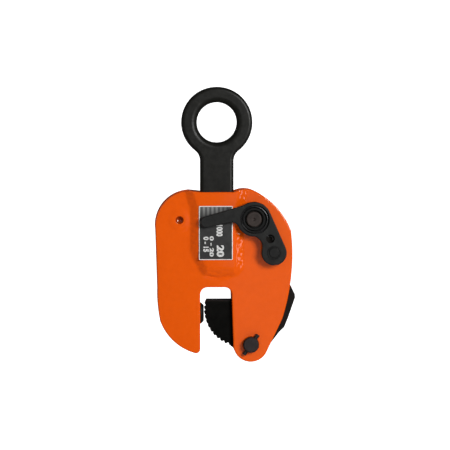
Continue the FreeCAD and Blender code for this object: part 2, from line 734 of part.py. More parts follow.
def swivel_jaw():
    """The jaw: a ridged disc on a spindle along X, turned in one piece."""
    body = new_body("swivel_jaw")
    body.setExpression("Placement.Base.z", "Sizes.jaw_z")
    profile = new_sketch(body, "profile")
    back, front, rim = size("jaw_back"), size("jaw_front"), size("jaw_rad")
    spindle, neck, end = size("spindle_rad"), size("spindle_neck"), size("spindle_end")
    groove_half = size("keeper_rad") + 0.4
    groove_x = size("keeper_x")
    ridge_deep, ridges, bevel = 1.2, 4, 2.4
    flank = (rim - bevel) / ridges
    points = [(end, 0), (end, spindle - 0.8), (end + 0.8, spindle),
              (groove_x - groove_half, spindle), (groove_x - groove_half, neck),
              (groove_x + groove_half, neck), (groove_x + groove_half, spindle),
              (back, spindle), (back, rim - 0.8), (back + 0.8, rim), (front - bevel, rim)]
    for n in range(ridges, 0, -1):
        points.append((front, n * flank))
        points.append((front - ridge_deep, (n - 0.5) * flank))
    points.append((front, 0))
    draw_polygon(profile, points)
    turned = body.newObject("PartDesign::Revolution", "swivel_jaw_turned")
    turned.Profile = profile
    turned.ReferenceAxis = (profile, ["H_Axis"])
    turned.Angle = 360.0
    doc.recompute()


# ---------------------------------------------------------------- lock lever


def coil_centre():
    """Centre of the lever spring, halfway between the collar's and the groove's."""
    return (size("lock_x") + size("groove_shift_x") / 2,
            size("lock_z") + size("groove_shift_z") / 2)


def spring_leg():
    """Where the lever spring's leg leaves the groove, and the hole that takes its hook."""
    x, z = coil_centre()
    end_x, end_z = size("wire_hole_x"), size("wire_hole_z")
    towards = math.degrees(math.atan2(end_z - z, end_x - x))
    return polar(x, z, size("coil_rad"), towards), (end_x, end_z)


def lock_lever():
    """The lock lever: a grooved head, a long thumb arm, a short arm and a hub behind."""
    x, z, head = size("lock_x"), size("lock_z"), size("lever_head")
    end_x, end_z, end = size("lever_end_x"), size("lever_end_z"), size("lever_end")
    to_end = math.degrees(math.atan2(end_z - z, end_x - x))
    lean = math.degrees(math.acos((head - end) / math.hypot(end_x - x, end_z - z)))
    straight = to_end + lean
    body = new_body("lock_lever", "-Sizes.lever_back")

    outline = new_sketch(body, "outline")
    draw(outline, polar(x, z, head, 112.8), [
        (polar(x, z, head, 68.0), polar(x, z, head, straight)),
        polar(end_x, end_z, end, straight),
        (polar(end_x, end_z, end, -70.0), polar(end_x, end_z, end, 166.0)),
        ((38.4, -105.9), polar(x, z, head, -88.0)),
        (polar(x, z, head, -122.0), polar(x, z, head, -150.0)),
        ((16.9, -90.7), (12.6, -89.2)),
        (-10.4, -93.9),
        ((-15.5, -89.2), (-11.2, -83.8)),
        (14.0, -76.6),
        ((20.2, -74.6), polar(x, z, head, 112.8)),
    ])
    pad(body, outline, "Sizes.lever_thick")

    hub = new_sketch(body, "hub")
    draw_circle(hub, "lock_x", "lock_z", "Sizes.hub_rad")
    pad(body, hub, "Sizes.lever_back - Sizes.half_gap - Sizes.plate_thick - Sizes.face_gap",
        backwards=True)

    groove = new_sketch(body, "groove", offset="Sizes.lever_thick")
    centre = Vector(x + size("groove_shift_x"), z + size("groove_shift_z"), 0)
    groove.addGeometry(Part.Circle(centre, Vector(0, 0, 1), size("groove_rad")))
    draw_circle(groove, "lock_x", "lock_z", "Sizes.collar_rad")
    pocket(body, groove, "Sizes.groove_deep", both_ways=False)

    counterbore = new_sketch(body, "counterbore", offset="Sizes.lever_thick")
    draw_circle(counterbore, "lock_x", "lock_z", "Sizes.collar_bore")
    pocket(body, counterbore, "Sizes.counterbore_deep", both_ways=False)

    holes = new_sketch(body, "holes")
    draw_circle(holes, "lock_x", "lock_z", "Sizes.lock_rad")
    draw_circle(holes, "lever_end_x", "lever_end_z", "Sizes.rivet_rad")
    draw_circle(holes, "wire_hole_x", "wire_hole_z", "Sizes.wire_hole")
    pocket(body, holes)

    room = size("coil_wire") + size("coil_room")
    leg_start, leg_end = spring_leg()
    drill = new_sketch(body, "drill")
    drill.addGeometry(Part.Circle(Vector(*leg_start, 0), Vector(0, 0, 1), room))
    pocket(body, drill)

    run = math.hypot(leg_end[0] - leg_start[0], leg_end[1] - leg_start[1])
    side_x = room * (leg_start[1] - leg_end[1]) / run
    side_z = room * (leg_end[0] - leg_start[0]) / run
    slot = new_sketch(body, "leg_slot")
    draw_polygon(slot, [(leg_start[0] + side_x, leg_start[1] + side_z),
                        (leg_end[0] + side_x, leg_end[1] + side_z),
                        (leg_end[0] - side_x, leg_end[1] - side_z),
                        (leg_start[0] - side_x, leg_start[1] - side_z)])
    pocket(body, slot, "Sizes.leg_deep", both_ways=False, backwards=True)


def lever_spring():
    """One turn of wire in the lever's groove; its leg runs in the back and hooks into a hole."""
    wire, ring = size("coil_wire"), size("coil_rad")
    x, z = coil_centre()
    back = -size("lever_back")
    floor = back - size("lever_thick") + size("groove_deep") - wire
    behind = back - size("leg_deep") + wire + size("coil_room")
    tip = back - size("lever_thick") + wire
    (start_x, start_z), (end_x, end_z) = spring_leg()
    start = math.degrees(math.atan2(start_z - z, start_x - x))
    turn = 340.0

    def on_ring(degrees):
        ring_x, ring_z = polar(x, z, ring, degrees)
        return Vector(ring_x, floor, ring_z)

    arc = Part.Arc(on_ring(start), on_ring(start + turn / 2), on_ring(start + turn)).toShape()
    tangent = Vector(z - start_z, 0, start_x - x)
    section = Part.Wire([Part.makeCircle(wire, on_ring(start), tangent)])
    solid = Part.Wire([arc]).makePipeShell([section], True, False)
    path = [on_ring(start), Vector(start_x, behind, start_z), Vector(end_x, behind, end_z),
            Vector(end_x, tip, end_z)]
    for near, far in zip(path, path[1:]):
        solid = solid.fuse(Part.makeSphere(wire, near))
        solid = solid.fuse(Part.makeCylinder(wire, (far - near).Length, near, far - near))
    feature("lever_spring", solid.removeSplitter().Solids[0])


def latch_lobe():
    """The lobe keyed to the lock shaft between the plates."""
    x, z = size("lock_x"), size("lock_z")
    thick, reach, shaft = size("lobe_thick"), size("lobe_rad"), size("lock_rad")
    hub, nose = shaft + 3.0, 3.5
    nose_x, nose_z = polar(x, z, reach - nose, 60.0)
    round_hub = Part.makeCylinder(hub, thick, Vector(x, -thick / 2, z), AXIS_Y)
    round_nose = Part.makeCylinder(nose, thick, Vector(nose_x, -thick / 2, nose_z), AXIS_Y)
    bore = Part.makeCylinder(shaft, thick, Vector(x, -thick / 2, z), AXIS_Y)
    flank = [polar(x, z, hub, 0.0), polar(nose_x, nose_z, nose, -5.0),
             polar(nose_x, nose_z, nose, 125.0), polar(x, z, hub, 120.0)]
    web = prism(edges_of(flank[0], flank[1:] + flank[:1]), thick)
    solid = round_hub.fuse(web).fuse(round_nose).removeSplitter().cut(bore)
    pin_rad = size("roll_pin_rad")
    drill = Part.makeCylinder(pin_rad, 2 * reach, Vector(x - reach, 0, z), AXIS_X)
    feature("latch_lobe", solid.cut(drill))
    feature("latch_lobe_pin", Part.makeCylinder(pin_rad, 2 * hub, Vector(x - hub, 0, z), AXIS_X))
    return drill


def lock_set():
    lock_lever()
    drill = latch_lobe()
    front, rear = size("lock_front"), size("lock_rear")
    x, z = size("lock_x"), size("lock_z")
    shaft = Part.makeCylinder(size("lock_rad"), front + rear, Vector(x, -front, z), AXIS_Y)
    end_bevel = 0.6
    shaft = shaft.makeChamfer(end_bevel, [edge for edge in shaft.Edges
                                          if edge.BoundBox.YLength < 0.01])
    feature("lock_shaft", shaft.cut(drill))

    outer = cylinder("lock_clip_disc", "Sizes.lock_rad + Sizes.clip_wide", "Sizes.clip_thick",
                     "Sizes.lock_x", "Sizes.half_gap + Sizes.plate_thick + Sizes.face_gap",
                     "Sizes.lock_z")
    inner = cylinder("lock_clip_hole", "Sizes.lock_rad", "Sizes.clip_thick",
                     "Sizes.lock_x", "Sizes.half_gap + Sizes.plate_thick + Sizes.face_gap",
                     "Sizes.lock_z")
    keep(combine("Cut", "lock_shaft_clip", outer, inner), "lock_shaft_clip")

    rivet_front = "-Sizes.lever_back - Sizes.lever_thick - Sizes.rivet_rise"
    rivet_head = cylinder("rivet_head", "Sizes.rivet_head", "Sizes.rivet_rise",
                          "Sizes.lever_end_x", rivet_front, "Sizes.lever_end_z")
    rivet_shank = cylinder("rivet_shank", "Sizes.rivet_rad", "Sizes.lever_thick + Sizes.rivet_rise",
                           "Sizes.lever_end_x", rivet_front, "Sizes.lever_end_z")
    keep(combine("MultiFuse", "lever_rivet", rivet_head, rivet_shank), "lever_rivet")
    lever_spring()


# ---------------------------------------------------------------- the whole clamp


housing()
shackle_set()
cam_link()
cam_set()
swivel_jaw()
lock_set()
doc.recompute()

for item in doc.Objects:
    if "Invalid" in item.State or "Error" in item.State:
        raise RuntimeError(f"{item.Name} is {item.State}")

os.makedirs("parts", exist_ok=True)
for item in subparts:
    shape = item.Shape
    if shape.isNull() or not shape.isValid():
        raise RuntimeError(f"{item.Label} has no valid shape")
    shape.exportStep(f"parts/{item.Label}.step")
    box = shape.BoundBox
    print(f"{item.Label:22s} solids {len(shape.Solids)}  volume {shape.Volume:9.1f}  "
          f"X {box.XMin:7.2f} {box.XMax:7.2f}  Y {box.YMin:7.2f} {box.YMax:7.2f}  "
          f"Z {box.ZMin:8.2f} {box.ZMax:8.2f}")
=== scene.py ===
import math
import random

import bmesh
import bpy
import numpy as np
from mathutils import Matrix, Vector
from mathutils.geometry import delaunay_2d_cdt


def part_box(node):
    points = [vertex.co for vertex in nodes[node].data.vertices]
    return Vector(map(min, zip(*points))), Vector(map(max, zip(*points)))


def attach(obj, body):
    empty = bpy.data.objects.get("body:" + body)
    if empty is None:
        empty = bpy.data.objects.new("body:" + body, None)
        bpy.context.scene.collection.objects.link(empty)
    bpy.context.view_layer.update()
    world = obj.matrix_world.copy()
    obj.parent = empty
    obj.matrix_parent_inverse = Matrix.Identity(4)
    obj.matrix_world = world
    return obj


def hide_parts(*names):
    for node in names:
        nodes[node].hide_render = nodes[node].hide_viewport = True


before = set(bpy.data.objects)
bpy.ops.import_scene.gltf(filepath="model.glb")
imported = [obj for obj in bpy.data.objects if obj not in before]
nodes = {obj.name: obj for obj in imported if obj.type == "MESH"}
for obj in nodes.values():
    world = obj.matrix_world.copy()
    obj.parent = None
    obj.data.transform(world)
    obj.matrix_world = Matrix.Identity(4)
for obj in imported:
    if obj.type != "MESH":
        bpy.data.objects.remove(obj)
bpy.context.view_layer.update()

# A plate lifting clamp.  The CAD frame gives the places of its pins and the depths of its parts.
# The parts that show are rebuilt here as rounded meshes.  Lengths are millimetres until a mesh,
# material or light is made in metres.  A flat point is (X, Z): most parts are plates across Y.

rng = random.Random(7)
MM = 0.001
ROUND_COUNT = 96
SHARP_ANGLE = math.radians(34.0)


def centre_of(node):
    """Centre of a CAD node seen from the front, (X, Z)."""
    low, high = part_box(node)
    return np.array(((low.x + high.x) / 2, (low.z + high.z) / 2)) / MM


def depth_of(node):
    """Front and back of a CAD node, Y."""
    low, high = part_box(node)
    return low.y / MM, high.y / MM


CAM_PIN = centre_of("cam_pin")
LOCK = centre_of("lock_shaft")
STUD = centre_of("spacer_stud")
RIVET = centre_of("lever_rivet")
LINK_TOP = centre_of("shackle_pin")
LINK_LOW = centre_of("link_pin")
HALF_GAP = depth_of("anvil_block")[1]
PLATE_THICK = 5.0
PLATE_FACE = HALF_GAP + PLATE_THICK
BULGE_RISE = -depth_of("front_side_plate")[0] - PLATE_FACE


# -------- flat outlines


def polar(centre, radius, degrees):
    """The point at this distance and direction from a centre, counted from +X towards +Z."""
    turn = math.radians(degrees)
    return (centre[0] + radius * math.cos(turn), centre[1] + radius * math.sin(turn))


def circle_through(a, b, c):
    """Centre of the circle through three points."""
    rows = np.array((b - a, c - a))
    return a + np.linalg.solve(2 * rows, (rows ** 2).sum(1))


def trace(start, steps, pitch):
    """Points a pitch apart along a closed chain; a step is an end, or (middle, end) of an arc."""
    points = []
    here = np.array(start, float)
    for step in steps:
        curved = isinstance(step[0], tuple)
        end = np.array(step[1] if curved else step, float)
        if curved:
            middle = np.array(step[0], float)
            centre = circle_through(here, middle, end)
            radius = np.linalg.norm(here - centre)
            first, half, last = (math.atan2(*(p - centre)[::-1]) for p in (here, middle, end))
            sweep = (last - first) % math.tau
            if (half - first) % math.tau > sweep:
                sweep -= math.tau
            count = max(2, math.ceil(abs(sweep) * radius / pitch))
            angles = first + sweep * np.arange(count) / count
            points += list(centre + radius * np.stack((np.cos(angles), np.sin(angles)), 1))
        else:
            count = max(1, math.ceil(np.linalg.norm(end - here) / pitch))
            points += [here + (end - here) * n / count for n in range(count)]
        here = end
    loop = np.array(points)
    ahead = np.roll(loop, -1, 0)
    area = (loop[:, 0] * ahead[:, 1] - ahead[:, 0] * loop[:, 1]).sum()
    return loop if area > 0 else loop[::-1].copy()


def ring(centre, radius, count=ROUND_COUNT):
    """A counterclockwise circle."""
    angles = np.arange(count) * math.tau / count
    return np.array(centre) + radius * np.stack((np.cos(angles), np.sin(angles)), 1)


def inward(loop):
    """For each point of a counterclockwise loop, the shift that moves its edges in by 1."""
    ahead = np.roll(loop, -1, 0) - loop
    ahead /= np.linalg.norm(ahead, axis=1)[:, None]
    normal = np.stack((-ahead[:, 1], ahead[:, 0]), 1)
    middle = normal + np.roll(normal, 1, 0)
    middle /= np.linalg.norm(middle, axis=1)[:, None]
    sharpest = 0.5
    return middle / np.maximum((middle * normal).sum(1), sharpest)[:, None]


def inside(points, loop):
    """Which points lie within a loop."""
    x, z = points[:, :1], points[:, 1:]
    ahead = np.roll(loop, -1, 0)
    low, high = loop[:, 1], ahead[:, 1]
    crosses = (low <= z) != (high <= z)
    rise = np.where(high == low, 1.0, high - low)
    at = loop[:, 0] + (z - low) * (ahead[:, 0] - loop[:, 0]) / rise
    return (crosses & (at > x)).sum(1) % 2 == 1


def distance(points, loop):
    """Distance of points from a loop, negative within it."""
    ahead = np.roll(loop, -1, 0) - loop
    away = points[:, None, :] - loop[None]
    share = np.clip((away * ahead).sum(2) / (ahead ** 2).sum(1), 0, 1)
    gap = np.linalg.norm(away - share[..., None] * ahead, axis=2).min(1)
    return np.where(inside(points, loop), -gap, gap)


def soften(points, radius, support=0.2):
    """Rounds a chain's corners, with a point beside each to hold the flats; the ends stay."""
    most_cut, most_hold, count = 0.4, 0.48, 4
    points = [np.array(p, float) for p in points]
    made = [points[0]]
    for before, corner, after in zip(points, points[1:], points[2:]):
        ends = []
        for other in (before, after):
            reach = np.linalg.norm(other - corner)
            way = (other - corner) / reach
            cut = min(radius, reach * most_cut)
            hold = min(cut + support, reach * most_hold)
            ends.append((corner + way * hold, corner + way * cut))
        (hold_a, a), (hold_b, b) = ends
        made.append(hold_a)
        made += [a * (1 - s) ** 2 + corner * 2 * s * (1 - s) + b * s ** 2
                 for s in np.linspace(0, 1, count)]
        made.append(hold_b)
    made.append(points[-1])
    return made


# -------- meshes


def face_outwards(mesh, weld=0.0):
    """Joins points closer than weld, in metres, and turns every face outwards."""
    work = bmesh.new()
    work.from_mesh(mesh)
    if weld:
        bmesh.ops.remove_doubles(work, verts=work.verts, dist=weld)
    bmesh.ops.recalc_face_normals(work, faces=work.faces)
    work.to_mesh(mesh)
    work.free()


def dress_mesh(mesh):
    """Outward faces, smooth shading, and sharp edges where the faces turn quickly."""
    face_outwards(mesh)
    mesh.shade_smooth()
    mesh.set_sharp_from_angle(angle=SHARP_ANGLE)


def placed(name, data):
    """A new object in the scene."""
    made = bpy.data.objects.new(name, data)
    bpy.context.scene.collection.objects.link(made)
    return made


def solid(name, points, faces):
    """A new object from points in millimetres."""
    mesh = bpy.data.meshes.new(name)
    mesh.from_pydata([Vector(p) * MM for p in points], [], faces)
    dress_mesh(mesh)
    return placed(name, mesh)


def band(upper, lower):
    """Quads between two closed rows of vertex numbers."""
    return [[upper[n - 1], lower[n - 1], lower[n], upper[n]] for n in range(len(upper))]


def fill(loops, grid):
    """Triangles inside the first loop and outside the others: points, faces, loops' numbers."""
    flat = np.concatenate([*loops, grid]) if len(grid) else np.concatenate(loops)
    edges, first = [], 0
    for loop in loops:
        edges += [(first + n, first + (n + 1) % len(loop)) for n in range(len(loop))]
        first += len(loop)
    made, _, faces, sources, _, _ = delaunay_2d_cdt([Vector(p) for p in flat], edges, [], 1, 1e-7)
    place = {source: n for n, found in enumerate(sources) for source in found}
    made = np.array([tuple(p) for p in made])
    middles = made[np.array(faces)].mean(1)
    wanted = inside(middles, loops[0])
    for loop in loops[1:]:
        wanted &= ~inside(middles, loop)
    rims, first = [], 0
    for loop in loops:
        rims.append([place[first + n] for n in range(len(loop))])
        first += len(loop)
    return made, [face for face, keep in zip(faces, wanted) if keep], rims


def level(face, points):
    """Y of a face at these points; a face is a number or a function."""
    return face(points) if callable(face) else np.full(len(points), float(face))


def wall(loop, front, back, edge, hole=False, support=0.3, steps=4):
    """Rows of points round a slab's side, front to back, with these radii on its two edges."""
    shift = -inward(loop) if hole else inward(loop)
    rows = []
    for face, sign, radius in ((front, 1, edge[0]), (back, -1, edge[1])):
        radius = np.broadcast_to(radius, len(loop))
        side = [(radius + support, 0 * radius)]
        for turn in np.linspace(0, math.pi / 2, steps + 1):
            side.append((radius * (1 - math.sin(turn)), radius * (1 - math.cos(turn))))
        side.append((0 * radius, radius + support))
        made = []
        for inset, sunk in side:
            points = loop + shift * inset[:, None]
            made.append((points, level(face, points) + sign * sunk))
        rows += made if sign > 0 else made[::-1]
    return rows


def round_hole(centre, radius, front, back, edge, count=ROUND_COUNT):
    """The wall of a slab's round hole."""
    return wall(ring(centre, radius, count), front, back, edge, hole=True)


def slab(name, walls, front, back, grid=()):
    """A plate between two faces across Y; walls are its side and its holes, the side first."""
    points, faces, rims = [], [], []
    for side, face in ((0, front), (-1, back)):
        flat, triangles, numbers = fill([rows[side][0] for rows in walls], grid)
        first = len(points)
        points += list(zip(flat[:, 0], level(face, flat), flat[:, 1]))
        faces += [[first + n for n in triangle] for triangle in triangles]
        rims.append([[first + n for n in row] for row in numbers])
    for which, rows in enumerate(walls):
        previous = rims[0][which]
        for loop, y in rows[1:-1]:
            row = range(len(points), len(points) + len(loop))
            points += list(zip(loop[:, 0], y, loop[:, 1]))
            faces += band(previous, row)
            previous = row
        faces += band(previous, rims[1][which])
    return solid(name, points, faces)


def clear_of(points, loops, gap):
    """Which points are inside the first loop and outside the others, clear of their edges."""
    keep = distance(points, loops[0]) < -gap
    for loop in loops[1:]:
        keep &= distance(points, loop) > gap
    return keep


def grid_points(low, high, pitch, loops, gap):
    """Grid points inside the first loop and outside the others, clear of their edges."""
    x, z = np.meshgrid(np.arange(low[0], high[0], pitch), np.arange(low[1], high[1], pitch))
    points = np.stack((x.ravel(), z.ravel()), 1)
    return points[clear_of(points, loops, gap)]


def turned(name, centre, profile, count=ROUND_COUNT):
    """A solid turned about a Y axis; the profile is (radius, Y), from axis to axis."""
    rows, points, faces = [], [], []
    angles = np.arange(count) * math.tau / count
    for radius, y in profile:
        if radius < 1e-6:
            rows.append([len(points)] * count)
            points.append((centre[0], y, centre[1]))
        else:
            rows.append(range(len(points), len(points) + count))
            points += [(centre[0] + radius * math.cos(a), y, centre[1] + radius * math.sin(a))
                       for a in angles]
    for upper, lower in zip(rows, rows[1:]):
        faces += [list(dict.fromkeys(face)) for face in band(upper, lower)]
    return solid(name, points, faces)


def tube(name, path, radius, sides=12):
    """A round bar along a path of (X, Y, Z), with domed ends; radius may change along it."""
    path = np.array(path, float)
    radius = np.broadcast_to(radius, len(path)).astype(float)
    along = np.gradient(path, axis=0)
    along /= np.linalg.norm(along, axis=1)[:, None]
    any_way = (0.31, 0.87, 0.39)
    side = np.cross(along[0], any_way)
    # A row of points is (its share of the radius, its place past the path's point).
    dome = [(0.5, 0.85), (0.87, 0.5)]
    rows_at = {0: [(out, -past) for out, past in dome] + [(1, 0)],
               len(path) - 1: [(1, 0)] + dome[::-1]}
    points, faces = [], []
    for n, (place, way, reach) in enumerate(zip(path, along, radius)):
        side = side - way * side.dot(way)
        side /= np.linalg.norm(side)
        other = np.cross(way, side)
        for out, past in rows_at.get(n, [(1, 0)]):
            for k in range(sides):
                turn = math.tau * k / sides
                round_it = side * math.cos(turn) + other * math.sin(turn)
                points.append(place + reach * (way * past + out * round_it))
    rows = len(points) // sides
    for n in range(rows - 1):
        faces += band(range(n * sides, (n + 1) * sides), range((n + 1) * sides, (n + 2) * sides))
    faces += [list(range(sides)), list(range((rows - 1) * sides, rows * sides))]
    return solid(name, points, faces)


def carve(piece, cutter):
    """Cuts one mesh out of another for good."""
    change = piece.modifiers.new("carve", "BOOLEAN")
    change.operation = "DIFFERENCE"
    change.solver = "EXACT"
    change.object = cutter
    seen = piece.evaluated_get(bpy.context.evaluated_depsgraph_get())
    mesh = bpy.data.meshes.new_from_object(seen)
    piece.modifiers.clear()
    piece.data = mesh
    bpy.data.objects.remove(cutter)
    dress_mesh(mesh)
    return piece


# -------- materials


class Paint:
    """A node material around one Principled shader; at() makes a node and links its inputs."""

    def __init__(self, name, **shader):
        self.material = bpy.data.materials.new(name)
        self.material.use_nodes = True
        self.tree = self.material.node_tree
        self.shader = self.tree.nodes["Principled BSDF"]
        for key, value in shader.items():
            self.shader.inputs[key.replace("_", " ")].default_value = value
        self.place = self.at("TexCoord").outputs["Object"]

    def at(self, kind, inputs=(), **settings):
        """A new node; an input is a number, a colour or the socket that feeds it."""
        made = self.tree.nodes.new(f"ShaderNode{kind}")
        for key, value in settings.items():
            setattr(made, key, value)
        for key, value in dict(inputs).items():
            if isinstance(value, bpy.types.NodeSocket):
                self.tree.links.new(value, made.inputs[key])
            else:
                made.inputs[key].default_value = value
        return made

    def noise(self, scale, detail=3.0, rough=0.5):
        """A noise whose features are about 1000 / scale millimetres across."""
        made = self.at("TexNoise", {"Vector": self.place, "Scale": scale, "Detail": detail,
                                    "Roughness": rough})
        return made.outputs["Fac"]

    def calc(self, operation, a, b=0.0):
        """One step of arithmetic."""
        return self.at("Math", {0: a, 1: b}, operation=operation).outputs[0]

    def spread(self, value, low, high, to_low=0.0, to_high=1.0):
        """Maps low..high to to_low..to_high, held at the ends."""
        made = self.at("MapRange", {"Value": value, "From Min": low, "From Max": high,
                                    "To Min": to_low, "To Max": to_high})
        return made.outputs["Result"]

    def mix(self, share, a, b):
        """Colour a, and b as the share goes to 1."""
        made = self.at("Mix", {"Factor": share}, data_type="RGBA")
        for socket, value in ((made.inputs[6], a), (made.inputs[7], b)):
            if isinstance(value, bpy.types.NodeSocket):
                self.tree.links.new(value, socket)
            else:
                socket.default_value = (*value, 1.0)
        return made.outputs[2]

    def feed(self, **sockets):
        """Links sockets to the shader's inputs of these names."""
        for key, value in sockets.items():
            self.tree.links.new(value, self.shader.inputs[key.replace("_", " ")])

    def bump(self, *layers):
        """Stacks bumps; a layer is (height socket, depth in millimetres)."""
        normal = None
        for height, depth in layers:
            inputs = {"Height": height, "Strength": 1.0, "Distance": depth * MM}
            if normal:
                inputs["Normal"] = normal
            normal = self.at("Bump", inputs).outputs["Normal"]
        self.feed(Normal=normal)

    def around(self, centre):
        """Distance from a Y axis, in metres."""
        parts = self.at("SeparateXYZ", {0: self.place}).outputs
        x = self.calc("SUBTRACT", parts[0], centre[0] * MM)
        z = self.calc("SUBTRACT", parts[2], centre[1] * MM)
        square = self.calc("ADD", self.calc("MULTIPLY", x, x), self.calc("MULTIPLY", z, z))
        return self.calc("SQRT", square)

    def edges(self, low=0.52, high=0.60):
        """Near 1 on convex edges."""
        return self.spread(self.at("NewGeometry").outputs["Pointiness"], low, high)


def orange_paint(name, shade=1.0):
    """Sprayed gloss enamel: a little orange peel, slow colour changes, thin on sharp edges."""
    # shade scales every colour; below 1 it paints shade into the enamel.
    def tone(*colour):
        return tuple(shade * part for part in colour)

    paint = Paint(name, Coat_Weight=0.8, Coat_Roughness=0.06, Coat_IOR=1.45,
                  Specular_IOR_Level=0.03)
    slow = paint.noise(38, 2)
    cloud = paint.noise(150, 5, 0.6)
    colour = paint.mix(slow, tone(0.79, 0.095, 0.0008), tone(0.85, 0.106, 0.0014))
    colour = paint.mix(paint.spread(cloud, 0.35, 0.75, 0.0, 0.30), colour,
                       tone(0.70, 0.076, 0.0006))
    chip = paint.calc("MULTIPLY", paint.edges(0.55, 0.64),
                      paint.spread(paint.noise(420, 4, 0.7), 0.60, 0.70))
    colour = paint.mix(paint.calc("MULTIPLY", chip, 0.55), colour, (0.25, 0.045, 0.012))
    rough = paint.spread(paint.noise(260, 4), 0.3, 0.7, 0.22, 0.32)
    paint.feed(Base_Color=colour, Roughness=rough)
    paint.bump((paint.noise(70, 2), 0.10), (paint.noise(650, 2, 0.4), 0.011),
               (paint.noise(2600, 2), 0.003))
    return paint.material


def forged_paint(name, base, high, rough, specular, grain=0.03, tint=None):
    """Satin black on a forging: scale pits, uneven sheen, pale rubbed edges; tint adds its own."""
    paint = Paint(name, Specular_IOR_Level=specular)
    scale = paint.noise(240, 6, 0.62)
    colour = paint.mix(paint.spread(scale, 0.35, 0.7), base, high)
    rub = paint.calc("MULTIPLY", paint.edges(), paint.spread(paint.noise(300, 5, 0.7), 0.45, 0.7))
    colour = paint.mix(paint.calc("MULTIPLY", rub, 0.35), colour, tuple(4 * c for c in high))
    if tint:
        colour = tint(paint, colour)
    paint.feed(Base_Color=colour,
               Roughness=paint.spread(paint.noise(120, 5, 0.6), 0.3, 0.7, *rough))
    pits = paint.at("TexVoronoi", {"Vector": paint.place, "Scale": 520.0},
                    feature="SMOOTH_F1").outputs["Distance"]
    paint.bump((paint.noise(90, 3), 0.12), (pits, grain), (paint.noise(1700, 3), grain / 3))
    return paint.material


def machined(name, base, high, centre=None, metallic=1.0, rough=(0.30, 0.45), specular=0.5):
    """Turned or drawn steel: tool marks round an axis, or a plain grain without one."""
    metal = Paint(name, Metallic=metallic, Specular_IOR_Level=specular)
    if centre is None:
        lines = metal.noise(900, 4, 0.7)
    else:
        lines = metal.at("TexNoise", {"W": metal.around(centre), "Scale": 2600.0, "Detail": 3.0},
                         noise_dimensions="1D").outputs["Fac"]
    stain = metal.noise(200, 5, 0.65)
    colour = metal.mix(metal.spread(stain, 0.35, 0.7), base, high)
    colour = metal.mix(metal.spread(lines, 0.4, 0.8, 0.0, 0.25), colour,
                       tuple(1.6 * c for c in high))
    metal.feed(Base_Color=colour, Roughness=metal.spread(stain, 0.3, 0.7, *rough))
    metal.bump((lines, 0.006), (metal.noise(450, 4), 0.012))
    return metal.material


def finish(piece, body, material, replaces=()):
    """Puts a new piece on its body with its material and the nodes it stands for."""
    piece.data.materials.clear()
    piece.data.materials.append(material)
    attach(piece, body)
    if replaces:
        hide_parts(*replaces)
    return piece


CAM_TOP = -159.8
CAM_TAIL_X = 48.0


def head_oil_and_painted_shade(paint, colour):
    """Darkens the lever's head within its groove, the rivet's head and the joint round it: partly
    oil, partly painted shade.
    """
    oil_and_shade = (0.0022, 0.0022, 0.0020)
    head, rivet_head, joint_start, joint_end = 12.6, 5.5, 5.2, 6.3

    def within(away, radius, share, blur):
        return paint.spread(away, (radius - blur) * MM, (radius + blur) * MM, share, 0.0)

    from_rivet = paint.around(RIVET)
    past_head = paint.spread(from_rivet, (joint_start - 0.4) * MM, (joint_start + 0.4) * MM)
    joint = paint.calc("MULTIPLY", within(from_rivet, joint_end, 0.6, 0.3), past_head)
    # Painted shade and oil in the groove and on the collar.
    dark = within(paint.around(LOCK), head, 0.9, 0.4)
    dark = paint.calc("MAXIMUM", dark, within(from_rivet, rivet_head, 0.35, 0.3))
    return paint.mix(paint.calc("MAXIMUM", dark, joint), colour, oil_and_shade)


def cam_wear_and_painted_sheen(paint, colour):
    """The cam's top and its tail are a little paler than its face: partly wear, partly a painted
    sheen where light glances off them.
    """
    worn, pale_band_deep = (0.0125, 0.0105, 0.0090), 1.0
    x, _, z = paint.at("SeparateXYZ", {0: paint.place}).outputs
    face_top = CAM_TOP - pale_band_deep
    top = paint.spread(z, (face_top - 0.4) * MM, (face_top + 0.4) * MM)
    tail = paint.spread(x, (CAM_TAIL_X - 4.0) * MM, (CAM_TAIL_X + 4.0) * MM)
    # Painted sheen and wear: paler on the top band and on the tail.
    return paint.mix(paint.calc("MAXIMUM", top, tail), colour, worn)


ORANGE = orange_paint("housing_paint")
# Painted shade: the same enamel darkened to stand in for the shade inside the stud's drilled ends.
SHADED_ORANGE = orange_paint("housing_paint_with_painted_shade", 0.45)
FORGED = forged_paint("forged_black", (0.0062, 0.0062, 0.0050), (0.0108, 0.0107, 0.0086),
                      rough=(0.32, 0.44), specular=0.22)
LEVER = forged_paint("lever_black", (0.0100, 0.0102, 0.0098), (0.0165, 0.0168, 0.0160),
                     rough=(0.42, 0.56), grain=0.018, specular=0.16, tint=head_oil_and_painted_shade)
CAM_STEEL = forged_paint("hardened_cam", (0.0016, 0.0016, 0.0012), (0.0036, 0.0035, 0.0028),
                         rough=(0.36, 0.50), grain=0.010, specular=0.05, tint=cam_wear_and_painted_sheen)
JAW_STEEL = forged_paint("jaw_steel", (0.0085, 0.0072, 0.0062), (0.0210, 0.0185, 0.0165),
                         rough=(0.30, 0.45), grain=0.010, specular=0.35)
PIN_BLACK = machined("black_steel", (0.017, 0.0125, 0.0125), (0.027, 0.020, 0.020),
                     centre=CAM_PIN, metallic=0.1, rough=(0.45, 0.58), specular=0.2)
SHAFT = machined("shaft_steel", (0.020, 0.0145, 0.0125), (0.038, 0.027, 0.023), centre=LOCK,
                 metallic=0.3, rough=(0.36, 0.50), specular=0.3)
STEEL = machined("plain_steel", (0.30, 0.30, 0.29), (0.42, 0.42, 0.41))
DARK_PIN = machined("roll_pin_black", (0.020, 0.019, 0.018), (0.035, 0.033, 0.031), metallic=0.5,
                    rough=(0.35, 0.5))
